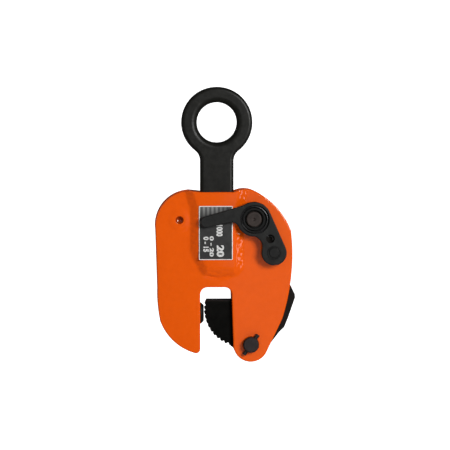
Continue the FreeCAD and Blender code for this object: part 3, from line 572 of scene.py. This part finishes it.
# Painted shade: the lever's spring wire is made near black so that the groove it lies in reads as
# shade.
DARK_WIRE = machined("spring_wire_darkened_for_shade", (0.030, 0.030, 0.031), (0.055, 0.055, 0.056),
                     metallic=0.8, rough=(0.28, 0.40))
SPRING = machined("spring_steel", (0.20, 0.20, 0.20), (0.34, 0.34, 0.33), rough=(0.25, 0.36))
BRONZE = machined("bush_bronze", (0.40, 0.22, 0.075), (0.55, 0.33, 0.13))


# -------- housing


LEG_ROUND = 15.79
PLATE_START = (-15.3, -203.6)
PLATE_STEPS = [
    ((-16.4, -206.3), (-20.0, -207.3)),
    ((-38.0, -197.6), (-51.4, -178.0)),
    ((-53.3, -164.5), (-53.7, -150.0)),
    (-55.4, -97.0),
    ((-45.9, -69.7), (-25.0, -60.9)),
    (-14.0, -62.2),
    (14.0, -62.2),
    (20.0, -60.3),
    ((26.5, -59.7), (33.0, -61.3)),
    ((52.6, -75.2), (66.3, -97.0)),
    ((67.5, -111.0), (67.4, -128.0)),
    ((64.5, -152.5), (58.3, -177.0)),
    polar(CAM_PIN, LEG_ROUND, -30.3),
    (polar(CAM_PIN, LEG_ROUND, -100.0), polar(CAM_PIN, LEG_ROUND, 178.0)),
    (13.0, -154.5),
    ((11.1, -149.9), (6.5, -148.0)),
    (-8.8, -148.0),
    ((-13.4, -149.9), (-15.3, -154.5)),
    PLATE_START,
]
PLATE_LOOP = trace(PLATE_START, PLATE_STEPS, 0.9)

# The pressed channel's flat top, which runs out over the plates' upper edge.
BULGE_TOP = np.array([(-28.6, -40.0), (-17.1, -76.0), (-17.1, -115.0), (-9.0, -131.0),
                      (14.0, -131.0), (16.2, -128.5), (16.2, -75.0), (25.0, -40.0)])
BULGE_SLOPE = 7.4
CHANNEL_INSET = 1.4
# How soft the creases are at the channel's foot and crest, and how uneven its slope is, both as
# shares of the slope.
CREASES = (0.05, 0.09)
SLOPE_WAVE = 0.08
PAD_RADIUS, PAD_RISE, PAD_SLOPE = 10.3, 0.55, 3.0


def ramp(share, foot=0.18, crest=0.18):
    """Climbs from 0 to 1 as share does, with rounded ends."""
    def bend(value, soft):
        return (value + np.sqrt(value * value + soft * soft)) / 2
    return bend(share, foot) - bend(share - 1, crest)


def pressing_marks(points):
    """Unevenness of hand-dressed sheet in waves 5 to 8 mm long, within 1 either way."""
    x, z = points[:, 0], points[:, 1]
    patches = np.sin(0.78 * x + 0.31 * z) * np.sin(0.86 * z - 0.24 * x + 1.1)
    streaks = np.sin(1.31 * z + 0.2 * x)
    return 0.6 * patches + 0.4 * streaks


def foot_fold(points):
    """The fold along the channel's closed lower end: a ridge and, at its foot, a groove."""
    x, z = points[:, 0], points[:, 1]
    wander = 0.9 * np.sin(0.27 * x + 1.3)
    reach = distance(points, BULGE_TOP) - wander

    def hump(height, middle, half):
        return height * np.exp(-((reach - middle) / half) ** 2)

    top_z, fade_down, end_x, fade_across = -124.0, 5.0, 15.0, 7.0
    below = np.clip((top_z - z) / fade_down, 0, 1)
    between = np.clip((end_x - np.abs(x)) / fade_across, 0, 1)
    return (hump(0.32, 5.0, 1.2) - hump(0.62, 7.5, 0.9)) * below * between


def plate_outside(points):
    """Distance of a side plate's outer face from the middle plane."""
    bulge = ramp(1 - distance(points, BULGE_TOP) / BULGE_SLOPE, *CREASES)
    bulge += SLOPE_WAVE * 4 * bulge * (1 - bulge) * pressing_marks(points)
    from_stud = np.linalg.norm(points - STUD, axis=1)
    pad = ramp((PAD_RADIUS - from_stud) / PAD_SLOPE)
    return PLATE_FACE + BULGE_RISE * bulge + PAD_RISE * pad + foot_fold(points)


def plate_inside(points):
    """Distance of a side plate's inner face from the middle plane."""
    channel = ramp(1 - (distance(points, BULGE_TOP) + CHANNEL_INSET) / BULGE_SLOPE)
    return HALF_GAP + BULGE_RISE * channel


def parallel(corners, reach, pitch):
    """Points a pitch apart at this distance outside a counterclockwise polygon."""
    points = []
    for n, corner in enumerate(corners):
        before, after = corner - corners[n - 1], corners[(n + 1) % len(corners)] - corner
        turn_in, turn_out = (math.atan2(*way[::-1]) - math.pi / 2 for way in (before, after))
        sweep = (turn_out - turn_in) % math.tau
        if sweep < math.pi:
            for turn in np.linspace(turn_in, turn_in + sweep, max(2, int(reach * sweep / pitch))):
                points.append(corner + reach * np.array((math.cos(turn), math.sin(turn))))
        out = reach * np.array((math.cos(turn_out), math.sin(turn_out)))
        count = int(np.linalg.norm(after) / pitch)
        points += [corner + out + after * k / count for k in range(1, count)]
    points = np.array(points)
    return points[distance(points, corners) > reach - 0.01]


def side_plate(name, side):
    """One pressed side plate; side is -1 for the front and 1 for the rear."""
    def outer(points):
        return side * plate_outside(points)

    def inner(points):
        return side * plate_inside(points)

    front, back = (outer, inner) if side < 0 else (inner, outer)
    edge, hole_edge = (1.1, 0.6), (0.5, 0.3)
    if side > 0:
        edge, hole_edge = edge[::-1], hole_edge[::-1]
    holes = [ring(CAM_PIN, 7.08), ring(LOCK, 9.13), ring(STUD, 3.5)]
    walls = [wall(PLATE_LOOP, front, back, edge)]
    walls += [wall(hole, front, back, hole_edge, hole=True) for hole in holes]
    loops = [PLATE_LOOP, *holes]

    # Points follow the channel's creases, lie close on the channel and far apart on the legs.
    creases = (0.0, 0.9, BULGE_SLOPE - 0.8, BULGE_SLOPE, BULGE_SLOPE + 0.8)
    fine_pitch, crease_pitch, coarse_pitch = 1.2, 1.1, 6.0
    edge_room, crease_room = 1.9, 0.6
    left, right, bottom, top = -47.0, 32.0, -144.0, -58.0
    fine = grid_points((left, bottom), (right, top), fine_pitch, loops, edge_room)
    beside = distance(fine, BULGE_TOP)
    for reach in creases:
        clear = np.abs(beside - reach) > crease_room
        fine, beside = fine[clear], beside[clear]
    lines = np.concatenate([parallel(BULGE_TOP, reach, crease_pitch) for reach in creases])
    lines = lines[clear_of(lines, loops, edge_room)]
    coarse = grid_points((-58.0, -214.0), (70.0, top), coarse_pitch, loops, coarse_pitch / 2)
    x, z = coarse[:, 0], coarse[:, 1]
    apart = (x < left - 2) | (x > right + 2) | (z < bottom - 2)
    piece = slab(name, walls, front, back, np.concatenate((fine, lines, coarse[apart])))
    return finish(piece, "housing", ORANGE, [name.replace("pressed_", "")])


side_plate("pressed_front_side_plate", -1)
side_plate("pressed_rear_side_plate", 1)


def weld_bead(name, keep, side):
    """A rippled bead along the part of an edge web where keep(x, z) is true."""
    inset, sunk, size, beat, pitch = 1.65, 0.15, 1.15, 1.7, 0.3
    path = PLATE_LOOP + inward(PLATE_LOOP) * inset
    wanted = np.array([keep(x, z) for x, z in path])
    start = next(n for n in range(len(path)) if wanted[n] and not wanted[n - 1])
    run = np.roll(path, -start, 0)[np.roll(wanted, -start)]
    along = np.concatenate(([0], np.cumsum(np.linalg.norm(np.diff(run, axis=0), axis=1))))
    spots = np.arange(0, along[-1], pitch)
    x, z = np.interp(spots, along, run[:, 0]), np.interp(spots, along, run[:, 1])
    ripple = 0.9 + 0.14 * ((spots / beat) % 1.0)
    sizes = np.array([rng.uniform(0.92, 1.08) for _ in range(int(spots[-1] / beat) + 2)])
    radius = size * np.interp(spots / beat, np.arange(len(sizes)), sizes) * ripple
    y = np.full(len(spots), side * (HALF_GAP - sunk))
    return finish(tube(name, np.stack((x, y, z), 1), radius, sides=14),
                  "housing", ORANGE)


WEB_RUNS = {
    "jaw": lambda x, z: x < -24.5 or (x < -17.5 and z > -100.0),
    "cam": lambda x, z: x > 17.5 and z > -117.5,
}
for run_name, keep_run in WEB_RUNS.items():
    for side_name, side in (("front", -1), ("rear", 1)):
        weld_bead(f"weld_{run_name}_{side_name}", keep_run, side)


def cam_pin():
    """The pin the cam turns on, bevelled, drilled for its two roll pins."""
    front, back = depth_of("cam_pin")
    radius, bevel = 7.0, 0.8
    profile = [(0, front), (radius - bevel, front), (radius, front + bevel),
               (radius, back - bevel), (radius - bevel, back), (0, back)]
    piece = turned("turned_cam_pin", CAM_PIN, soften(profile, 0.25))
    roll_pin_y, hole_radius = 18.0, 1.9
    slope = math.radians(54.6)
    way = np.array((math.cos(slope), 0, math.sin(slope)))
    for y in (-roll_pin_y, roll_pin_y):
        middle = np.array((CAM_PIN[0], y, CAM_PIN[1]))
        path = [middle + way * reach for reach in (-12, -4, 4, 12)]
        carve(piece, tube("drill", path, hole_radius, 24))
    return finish(piece, "housing", PIN_BLACK, ["cam_pin"])


def spacer_stud():
    """The stud between the plates, drilled in both ends."""
    front, _ = depth_of("spacer_stud")
    core, spigot, drill, deep = 7.0, 3.42, 2.6, 3.0
    shoulder = -HALF_GAP + 0.02
    end = [(0, front + deep + 1.0), (drill, front + deep), (drill, front), (spigot, front),
           (spigot, shoulder), (core, shoulder)]
    profile = end + [(radius, -y) for radius, y in reversed(end)]
    # Its darker orange is painted shade in the drilled ends.
    return finish(turned("drilled_spacer_stud", STUD, soften(profile, 0.25, 0.08), 64),
                  "housing", SHADED_ORANGE, ["spacer_stud"])


# -------- lifting eye


def box_cutter(low, high):
    """A plain box to cut with."""
    corners = [(x, y, z) for x in (low[0], high[0]) for y in (low[1], high[1])
               for z in (low[2], high[2])]
    return solid("cutter", corners, [(0, 1, 3, 2), (4, 6, 7, 5), (0, 4, 5, 1), (2, 3, 7, 6),
                                     (0, 2, 6, 4), (1, 5, 7, 3)])


def lifting_eye():
    """The forged eye and shank, with the slot for the link."""
    outer, neck, half, bore, pin_hole = 32.0, 12.0, 15.0, 18.0, 6.02
    neck_x = half + neck
    neck_z = -math.sqrt((outer + neck) ** 2 - neck_x ** 2)
    touch = outer / (outer + neck)
    pin_z = LINK_TOP[1]

    def neck_middle(side):
        to_eye = math.degrees(math.atan2(-neck_z, -side * neck_x))
        to_shank = 180.0 if side > 0 else 0.0
        return polar((side * neck_x, neck_z), neck, (to_eye + to_shank) / 2)

    loop = trace((half, neck_z), [
        (neck_middle(1), (neck_x * touch, neck_z * touch)),
        ((0, outer), (-neck_x * touch, neck_z * touch)),
        (neck_middle(-1), (-half, neck_z)),
        (-half, pin_z),
        ((0, pin_z - half), (half, pin_z)),
        (half, neck_z),
    ], 1.0)
    front, back = depth_of("shackle")
    walls = [wall(loop, front, back, (3.2, 3.2), steps=7),
             wall(ring((0, 0), bore, 144), front, back, (5.0, 5.0), hole=True, steps=9),
             round_hole(LINK_TOP, pin_hole, front, back, (0.4, 0.4))]
    piece = slab("forged_eye", walls, front, back)
    slot_half, slot_top = 4.4, pin_z + 11.7
    clear = 2 * half
    carve(piece, box_cutter((-clear, -slot_half, pin_z - clear), (clear, slot_half, slot_top)))
    return finish(piece, "shackle", FORGED, ["shackle"])


# -------- link and cam


def cam_link():
    """The bent link between the shank's pin and the cam's pin."""
    half, eye, bend, top_hole, low_hole = 8.0, 10.2, 8.0, 6.05, 6.25
    run = LINK_LOW - LINK_TOP
    span = np.linalg.norm(run)
    normal = np.array((-run[1], run[0])) / span
    radius = (span ** 2 / 4 + bend ** 2) / (2 * bend)
    centre = (LINK_TOP + LINK_LOW) / 2 + normal * (bend - radius)
    towards = [math.degrees(math.atan2(*(p - centre)[::-1])) for p in (LINK_TOP, LINK_LOW)]
    middle = sum(towards) / 2
    # The bar's edges leave the round ends this far past the pins, seen from the bend's centre.
    slip = math.degrees(math.sqrt(eye ** 2 - half ** 2) / radius)
    top, low = towards[0] - slip, towards[1] + slip
    away = math.degrees(math.atan2(*(LINK_TOP - LINK_LOW)[::-1]))
    loop = trace(polar(centre, radius + half, top), [
        (polar(centre, radius + half, middle), polar(centre, radius + half, low)),
        (polar(LINK_LOW, eye, away + 180), polar(centre, radius - half, low)),
        (polar(centre, radius - half, middle), polar(centre, radius - half, top)),
        (polar(LINK_TOP, eye, away), polar(centre, radius + half, top)),
    ], 1.2)
    front, back = depth_of("cam_link")
    walls = [wall(loop, front, back, (1.0, 1.0)),
             round_hole(LINK_TOP, top_hole, front, back, (0.4, 0.4)),
             round_hole(LINK_LOW, low_hole, front, back, (0.4, 0.4))]
    return finish(slab("forged_cam_link", walls, front, back), "link", FORGED,
                  ["cam_link"])


def toothed_cam():
    """The eccentric cam with its teeth, its tail and the slot for the link."""
    face, radius, deep, pitch, tip_share = (21.3, -169.3), 32.5, 1.9, 4.3, 0.3
    boss, bush_hole, pin_hole, top_end = 15.4, 9.08, 5.05, 38.0
    first, last = 168.0, 254.0
    step = math.degrees(pitch / radius)
    count = int((last - first) / step)
    teeth = []
    for n in range(count):
        start = first + n * step
        teeth += [polar(face, radius, start), polar(face, radius, start + tip_share * step),
                  polar(face, radius - deep, start + (0.5 + tip_share / 2) * step)]
    teeth.append(polar(face, radius, first + count * step))
    loop = trace(teeth[0], teeth[1:] + [
        polar(CAM_PIN, boss, 195.0),
        (polar(CAM_PIN, boss, 270.0), polar(CAM_PIN, boss, -12.0)),
        (56.4, -188.4),
        (60.6, -184.4),
        (64.2, -175.6),
        (70.4, -157.6),
        (70.1, -154.6),
        (66.4, -146.8),
        ((57.0, -144.6), (48.6, -148.6)),
        (top_end, CAM_TOP),
        (-9.2, CAM_TOP),
        teeth[0],
    ], 1.5)
    x, z = loop[:, 0], loop[:, 1]
    on_top = (z > CAM_TOP - 0.1) & (x < top_end + 0.1)
    edge = np.where(on_top, 0.6, np.where(x > CAM_TAIL_X, 0.7, 0.25))
    front, back = depth_of("toothed_cam")
    walls = [wall(loop, front, back, (edge, edge), support=0.15),
             round_hole(CAM_PIN, bush_hole, front, back, (0.4, 0.4)),
             round_hole(LINK_LOW, pin_hole, front, back, (0.3, 0.3), 64)]
    piece = slab("milled_cam", walls, front, back)

    room, above, slot_half = 12.4, -135.0, 4.4
    slot_start, slot_end = (-20.0, -161.4), polar(LINK_LOW, room, 10.0)
    slot = trace(slot_start, [
        ((0.4, -166.2), polar(LINK_LOW, room, 250.0)),
        (polar(LINK_LOW, room, 310.0), slot_end),
        (slot_end[0], above),
        (slot_start[0], above),
        slot_start,
    ], 2.0)
    carve(piece, slab("cutter", [wall(slot, -slot_half, slot_half, (0.05, 0.05))],
                      -slot_half, slot_half))
    return finish(piece, "cam", CAM_STEEL, ["toothed_cam"])


def swivel_jaw():
    """The jaw's ridged disc and its grooved spindle, turned about X."""
    low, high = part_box("swivel_jaw")
    end, front, rim = low.x / MM, high.x / MM, 9.6
    back, spindle, neck = front - 3.7, 5.0, 3.4
    neck_start, neck_end = end + 2.6, end + 7.4
    bevel, ridge_deep, ridges = 2.4, 1.2, 4
    flank = (rim - bevel) / ridges
    profile = [(0, end), (spindle - 0.8, end), (spindle, end + 0.8), (spindle, neck_start),
               (neck, neck_start), (neck, neck_end), (spindle, neck_end), (spindle, back),
               (rim - 0.8, back), (rim, back + 0.8), (rim, front - bevel)]
    for n in range(ridges, 0, -1):
        profile += [(n * flank, front), ((n - 0.5) * flank, front - ridge_deep)]
    profile.append((0, front))
    piece = turned("ridged_jaw", (0, 0), soften(profile, 0.2, 0.06))
    middle_z = (low.z + high.z) / 2
    for vertex in piece.data.vertices:
        x, y, z = vertex.co
        vertex.co = (y, -x, z + middle_z)
    return finish(piece, "jaw", JAW_STEEL, ["swivel_jaw"])


# -------- lock lever


LEVER_FRONT = depth_of("lock_lever")[0]
HUB_BACK = depth_of("lock_lever")[1]
LEVER_BACK = depth_of("lever_rivet")[1]
# The radii of the lever's round head, of its short arm's end and of the groove in the head.
HEAD, END = 15.5, 11.3
GROOVE, GROOVE_DEEP, GROOVE_SHIFT = 12.8, 3.0, np.array((1.1, -0.4))
WIRE_HOLE = np.array((47.0, -103.9))


def lock_lever():
    """The lever: a grooved head with a raised collar, a thumb arm, a short arm and a hub."""
    to_end = math.degrees(math.atan2(*(RIVET - LOCK)[::-1]))
    straight = to_end + math.degrees(math.acos((HEAD - END) / np.linalg.norm(RIVET - LOCK)))
    start = polar(LOCK, HEAD, 112.8)
    loop = trace(start, [
        (polar(LOCK, HEAD, 68.0), polar(LOCK, HEAD, straight)),
        polar(RIVET, END, straight),
        (polar(RIVET, END, -70.0), polar(RIVET, END, 166.0)),
        ((38.4, -105.9), polar(LOCK, HEAD, -88.0)),
        (polar(LOCK, HEAD, -122.0), polar(LOCK, HEAD, -150.0)),
        ((16.9, -90.7), (12.6, -89.2)),
        (-10.4, -93.9),
        ((-15.5, -89.2), (-11.2, -83.8)),
        (14.0, -76.6),
        ((20.2, -74.6), start),
    ], 0.9)
    grooved = LOCK + GROOVE_SHIFT
    collar, recess, bore, hub = 10.2, 8.1, 7.06, 9.5
    groove_floor, recess_floor = LEVER_FRONT + GROOVE_DEEP, LEVER_FRONT + 2.0
    # The head's turned rows are (centre, radius, Y).
    profile = [(*grooved, GROOVE + 0.45, LEVER_FRONT), (*grooved, GROOVE, LEVER_FRONT),
               (*grooved, GROOVE, groove_floor), (*LOCK, collar, groove_floor),
               (*LOCK, collar, LEVER_FRONT), (*LOCK, recess, LEVER_FRONT),
               (*LOCK, recess, recess_floor), (*LOCK, bore, recess_floor),
               (*LOCK, bore, HUB_BACK), (*LOCK, hub, HUB_BACK), (*LOCK, hub, LEVER_BACK),
               (*LOCK, collar, LEVER_BACK)]
    head = [(ring((x, z), radius), np.full(ROUND_COUNT, y))
            for x, z, radius, y in soften(profile, 0.4, 0.12)]
    walls = [wall(loop, LEVER_FRONT, LEVER_BACK, (0.85, 0.5)), head,
             round_hole(RIVET, 4.05, LEVER_FRONT, LEVER_BACK, (0.2, 0.2), 64),
             round_hole(WIRE_HOLE, 3.8, LEVER_FRONT, LEVER_BACK, (0.35, 0.2), 64)]
    piece = slab("cast_lock_lever", walls, LEVER_FRONT, LEVER_BACK)
    return finish(piece, "lock", LEVER, ["lock_lever"])


def lever_rivet():
    """The rivet in the short arm: a flat head with a ring pressed round it."""
    front, back = depth_of("lever_rivet")
    head, shank = 6.0, 4.0
    profile = [(0, front), (4.3, front), (4.7, front + 0.55), (5.2, front + 0.55),
               (5.5, front + 0.25), (head, front + 0.35), (head, LEVER_FRONT),
               (shank, LEVER_FRONT), (shank, back), (0, back)]
    return finish(turned("upset_lever_rivet", RIVET, soften(profile, 0.22, 0.08)), "lock",
                  LEVER, ["lever_rivet"])


def lock_shaft():
    """The lock shaft, with a centre drilling in each end."""
    front, back = depth_of("lock_shaft")
    radius, bevel, drill = 7.0, 0.7, 1.3
    profile = [(0, front + drill), (drill, front), (radius - bevel, front),
               (radius, front + bevel), (radius, back - bevel), (radius - bevel, back),
               (drill, back), (0, back - drill)]
    return finish(turned("turned_lock_shaft", LOCK, soften(profile, 0.2)), "lock",
                  SHAFT, ["lock_shaft"])


def lever_spring():
    """The wound wire in the groove; its leg passes through the lever and hooks into a hole."""
    wire, coil, pitch, hook = 0.55, 11.45, 1.2, 2.4
    coil_start, hook_turn = 450.0, 150.0
    centre = LOCK + GROOVE_SHIFT / 2
    floor = LEVER_FRONT + GROOVE_DEEP - wire
    leg_y = LEVER_BACK - 0.65
    to_hole = math.degrees(math.atan2(*(WIRE_HOLE - centre)[::-1]))
    path = []
    for degrees in np.arange(coil_start, to_hole, -4.0):
        x, z = polar(centre, coil, degrees)
        path.append((x, floor - pitch * (degrees - to_hole) / 360.0, z))
    x, z = polar(centre, coil, to_hole)
    reach = np.linalg.norm(WIRE_HOLE - (x, z))
    way = (WIRE_HOLE - (x, z)) / reach
    path += [(x, floor, z), (x, (floor + leg_y) / 2, z), (x, leg_y, z)]
    for out in np.linspace(reach * 0.1, reach - hook, 8):
        path.append((x + way[0] * out, leg_y, z + way[1] * out))
    arrival = to_hole + 180.0
    rise = LEVER_FRONT + 0.9 - leg_y
    for share in np.linspace(0.08, 1.0, 16):
        x, z = polar(WIRE_HOLE, hook, arrival - hook_turn * share)
        path.append((x, leg_y + rise * share, z))
    return finish(tube("wound_lever_spring", path, wire, 10), "lock", DARK_WIRE,
                  ["lever_spring"])


def wire_hole_shade_disc():
    """A thin dark disc behind the lever that closes the back of the wire hole, to put painted
    shade in the hole behind the spring's hook.
    """
    front, back, radius = LEVER_BACK + 0.05, LEVER_BACK + 0.7, 5.4
    profile = [(0, front), (radius, front), (radius, back), (0, back)]
    return finish(turned("wire_hole_shade_disc", WIRE_HOLE, soften(profile, 0.15), 64), "lock",
                  CAM_STEEL)


# -------- nameplate


NAME_LOW, NAME_HIGH = (np.array((corner.x, corner.z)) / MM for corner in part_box("nameplate"))
NAME_FRONT, NAME_BACK = depth_of("nameplate")


def printed_plate(name):
    """Black printed aluminium: a bare border and pale printed bars near the top, which darken to
    the right and downwards as painted shade.
    """
    border, bar_pitch, first_bar = 0.75, 3.85, NAME_LOW[0] + 4.5
    plate = Paint(name)
    parts = plate.at("SeparateXYZ", {0: plate.place}).outputs
    x = plate.calc("DIVIDE", parts[0], MM)
    z = plate.calc("DIVIDE", parts[2], MM)
    middle, half = (NAME_LOW + NAME_HIGH) / 2, (NAME_HIGH - NAME_LOW) / 2 - border

    def within(value, centre, reach):
        away = plate.calc("ABSOLUTE", plate.calc("SUBTRACT", value, centre))
        return plate.spread(away, reach - 0.06, reach + 0.06, 1.0, 0.0)

    field = plate.calc("MULTIPLY", within(x, middle[0], half[0]), within(z, middle[1], half[1]))
    from_bar = plate.calc("SUBTRACT", x, first_bar)
    wave = plate.calc("COSINE", plate.calc("MULTIPLY", from_bar, math.tau / bar_pitch))
    bars = plate.spread(wave, -0.6, 0.5, 0.25, 1.0)
    # Painted shade: the printed bars darken towards the right and fade out downwards.
    bars = plate.calc("MULTIPLY", bars, plate.spread(x, -2.0, NAME_HIGH[0] - 3, 1.0, 0.15))
    bars = plate.calc("MULTIPLY", bars, plate.spread(z, NAME_HIGH[1] - 11.5, NAME_HIGH[1] - 2))
    dull = plate.noise(300, 5, 0.6)
    ink = plate.mix(plate.spread(dull, 0.3, 0.7), (0.011, 0.011, 0.0105), (0.018, 0.018, 0.0175))
    ink = plate.mix(plate.calc("MULTIPLY", bars, 0.8), ink, (0.28, 0.28, 0.27))
    bare = plate.mix(plate.spread(plate.noise(700, 4), 0.3, 0.7), (0.72, 0.70, 0.67),
                     (0.90, 0.88, 0.86))
    plate.feed(Base_Color=plate.mix(field, bare, ink),
               Metallic=plate.spread(field, 0.0, 1.0, 0.25, 0.0),
               Roughness=plate.spread(dull, 0.3, 0.7, 0.34, 0.46))
    plate.bump((field, 0.03), (plate.noise(1400, 3), 0.004))
    return plate.material


def nameplate():
    """The plate riveted on the front of the pressed channel."""
    corner, steps = 1.0, []
    (left, bottom), (right, top) = NAME_LOW + corner, NAME_HIGH - corner
    for centre, turn in (((right, bottom), -90.0), ((right, top), 0.0), ((left, top), 90.0),
                         ((left, bottom), 180.0)):
        arc = [polar(centre, corner, turn + more) for more in (0.0, 45.0, 90.0)]
        steps += [arc[0], (arc[1], arc[2])]
    loop = trace(arc[2], steps, 0.5)
    walls = [wall(loop, NAME_FRONT, NAME_BACK, (0.2, 0.1), support=0.1)]
    return finish(slab("printed_nameplate", walls, NAME_FRONT, NAME_BACK), "housing",
                  printed_plate("nameplate_print"), ["nameplate"])


for build in (cam_pin, spacer_stud, lifting_eye, cam_link, toothed_cam, swivel_jaw, lock_lever,
              lever_rivet, lock_shaft, lever_spring, wire_hole_shade_disc, nameplate):
    build()


def white_ink():
    """Screen-printed marks, slightly worn."""
    ink = Paint("white_ink", Roughness=0.5)
    worn = ink.spread(ink.noise(900, 4, 0.7), 0.35, 0.6)
    ink.feed(Base_Color=ink.mix(worn, (0.42, 0.42, 0.41), (0.78, 0.78, 0.76)))
    ink.bump((ink.noise(1500, 2), 0.004))
    return ink.material


WHITE = white_ink()


def numerals(name, text, across, down, bold=0.28):
    """Printed numerals that read downwards, fitted between two X and two Z."""
    size, half_thick, sunk, weld = 6.0, 0.04, 0.02, 1e-7
    curve = bpy.data.curves.new(name, "FONT")
    curve.body = text
    curve.size = size
    curve.offset = bold
    curve.extrude = half_thick
    letters = placed(name, curve)
    bpy.context.view_layer.update()
    mesh = bpy.data.meshes.new_from_object(letters)
    bpy.data.objects.remove(letters)
    places = np.array([vertex.co for vertex in mesh.vertices])
    low, high = places.min(0), places.max(0)
    for vertex in mesh.vertices:
        along, up, out = vertex.co
        x = across[0] + (up - low[1]) / (high[1] - low[1]) * (across[1] - across[0])
        z = down[0] + (along - low[0]) / (high[0] - low[0]) * (down[1] - down[0])
        vertex.co = Vector((x, NAME_FRONT - sunk - out, z)) * MM
    face_outwards(mesh, weld)
    return finish(placed(name, mesh), "housing", WHITE)


numerals("numerals_left", "0 - 15", (-12.7, -7.9), (-102.1, -115.8))
numerals("numerals_middle", "0 - 20", (-7.1, -3.3), (-101.6, -120.0))
numerals("numerals_right", "20", (-0.7, 5.9), (-109.7, -120.3), bold=0.3)
numerals("numerals_small", "1000", (-1.0, 4.6), (-91.6, -101.8))


# -------- CAD nodes that stay


KEPT = {
    "jaw_side_web": ORANGE, "cam_side_web": ORANGE, "anvil_block": ORANGE,
    "cam_pin_roll_pins": DARK_PIN, "lock_shaft_bushes": BRONZE, "cam_bush": BRONZE,
    "jaw_keeper_pin": STEEL, "shackle_pin": STEEL, "shackle_pin_washers": STEEL,
    "link_pin": STEEL, "latch_lobe": STEEL,
    "shackle_pin_clips": SPRING, "latch_lobe_pin": SPRING, "lock_shaft_clip": SPRING,
}
for kept_name, kept_material in KEPT.items():
    kept = nodes[kept_name]
    kept.data.materials.clear()
    kept.data.materials.append(kept_material)


# -------- stage, light and camera


VIEW_CENTRE = Vector((7.2, -8.0, -92.25)) * MM
VIEW_WIDTH = 405.0 * MM
VIEW_DISTANCE = 2.4
VIEW_LEFT, VIEW_UP = 2.2, 2.8


def from_front(across, up):
    """The direction at these angles from the front, to the right and up."""
    across, up = math.radians(across), math.radians(up)
    return Vector((math.sin(across) * math.cos(up), -math.cos(across) * math.cos(up),
                   math.sin(up)))


def stage():
    """A pale floor, in metres, that curves up into a bright background."""
    floor_z, front_y, back_y, top_z, bend, half = -0.75, -2.2, 5.0, 1.0, 0.9, 2.6
    bend_y = back_y - bend
    profile = [(front_y, floor_z), (bend_y, floor_z)]
    for turn in np.linspace(0, math.pi / 2, 24)[1:]:
        profile.append((bend_y + bend * math.sin(turn), floor_z + bend * (1 - math.cos(turn))))
    profile.append((back_y, top_z))
    points = [(x, y, z) for y, z in profile for x in (-half, half)]
    faces = [(2 * n, 2 * n + 1, 2 * n + 3, 2 * n + 2) for n in range(len(profile) - 1)]
    mesh = bpy.data.meshes.new("studio_sweep")
    mesh.from_pydata(points, [], faces)
    mesh.shade_smooth()
    sweep = placed("studio_sweep", mesh)
    paper = Paint("studio_paper", Roughness=0.9, Emission_Color=(1.0, 1.0, 1.0, 1.0))
    depth = paper.at("SeparateXYZ", {0: paper.place}).outputs[1]
    paper.feed(Base_Color=paper.mix(paper.noise(3, 2), (0.86, 0.86, 0.86), (0.90, 0.90, 0.90)),
               Emission_Strength=paper.spread(depth, 1.6, 3.6, 0.12, 1.05))
    mesh.materials.append(paper.material)
    sweep.visible_glossy = False


stage()


def softbox(name, across, up, reach, size, power):
    """A rectangular light, in metres and watts, that faces the clamp from these angles."""
    light = bpy.data.lights.new(name, "AREA")
    light.shape = "RECTANGLE"
    light.size, light.size_y = size
    light.energy = power
    lamp = placed(name, light)
    away = from_front(across, up)
    lamp.location = VIEW_CENTRE + away * reach
    lamp.rotation_euler = (-away).to_track_quat("-Z", "Y").to_euler()
    lamp.visible_camera = False
    return lamp


softbox("key", across=29, up=14, reach=1.3, size=(0.46, 0.46), power=13.4)
softbox("edge_right", across=60, up=-7, reach=1.3, size=(0.12, 0.30), power=0.6)
softbox("card_right", across=8.5, up=-4, reach=1.8, size=(0.40, 0.50), power=0.24)
softbox("fill", across=-30, up=15, reach=1.9, size=(0.9, 0.9), power=2.2)
rear = softbox("rear", across=180, up=12, reach=1.9, size=(0.8, 0.8), power=14.0)
rear.visible_glossy = False

world = bpy.data.worlds.new("studio")
world.use_nodes = True
sky = world.node_tree.nodes["Background"].inputs
sky["Color"].default_value = (1.0, 1.0, 1.0, 1.0)
sky["Strength"].default_value = 0.10
bpy.context.scene.world = world
bpy.context.scene.view_settings.view_transform = "Standard"

lens = bpy.data.cameras.new("camera")
lens.sensor_width = 36.0
lens.lens = lens.sensor_width * VIEW_DISTANCE / VIEW_WIDTH
lens.clip_end = 20.0
camera = placed("camera", lens)
camera.location = VIEW_CENTRE + from_front(-VIEW_LEFT, VIEW_UP) * VIEW_DISTANCE
camera.rotation_euler = (math.radians(90 - VIEW_UP), 0, -math.radians(VIEW_LEFT))
bpy.context.scene.camera = camera
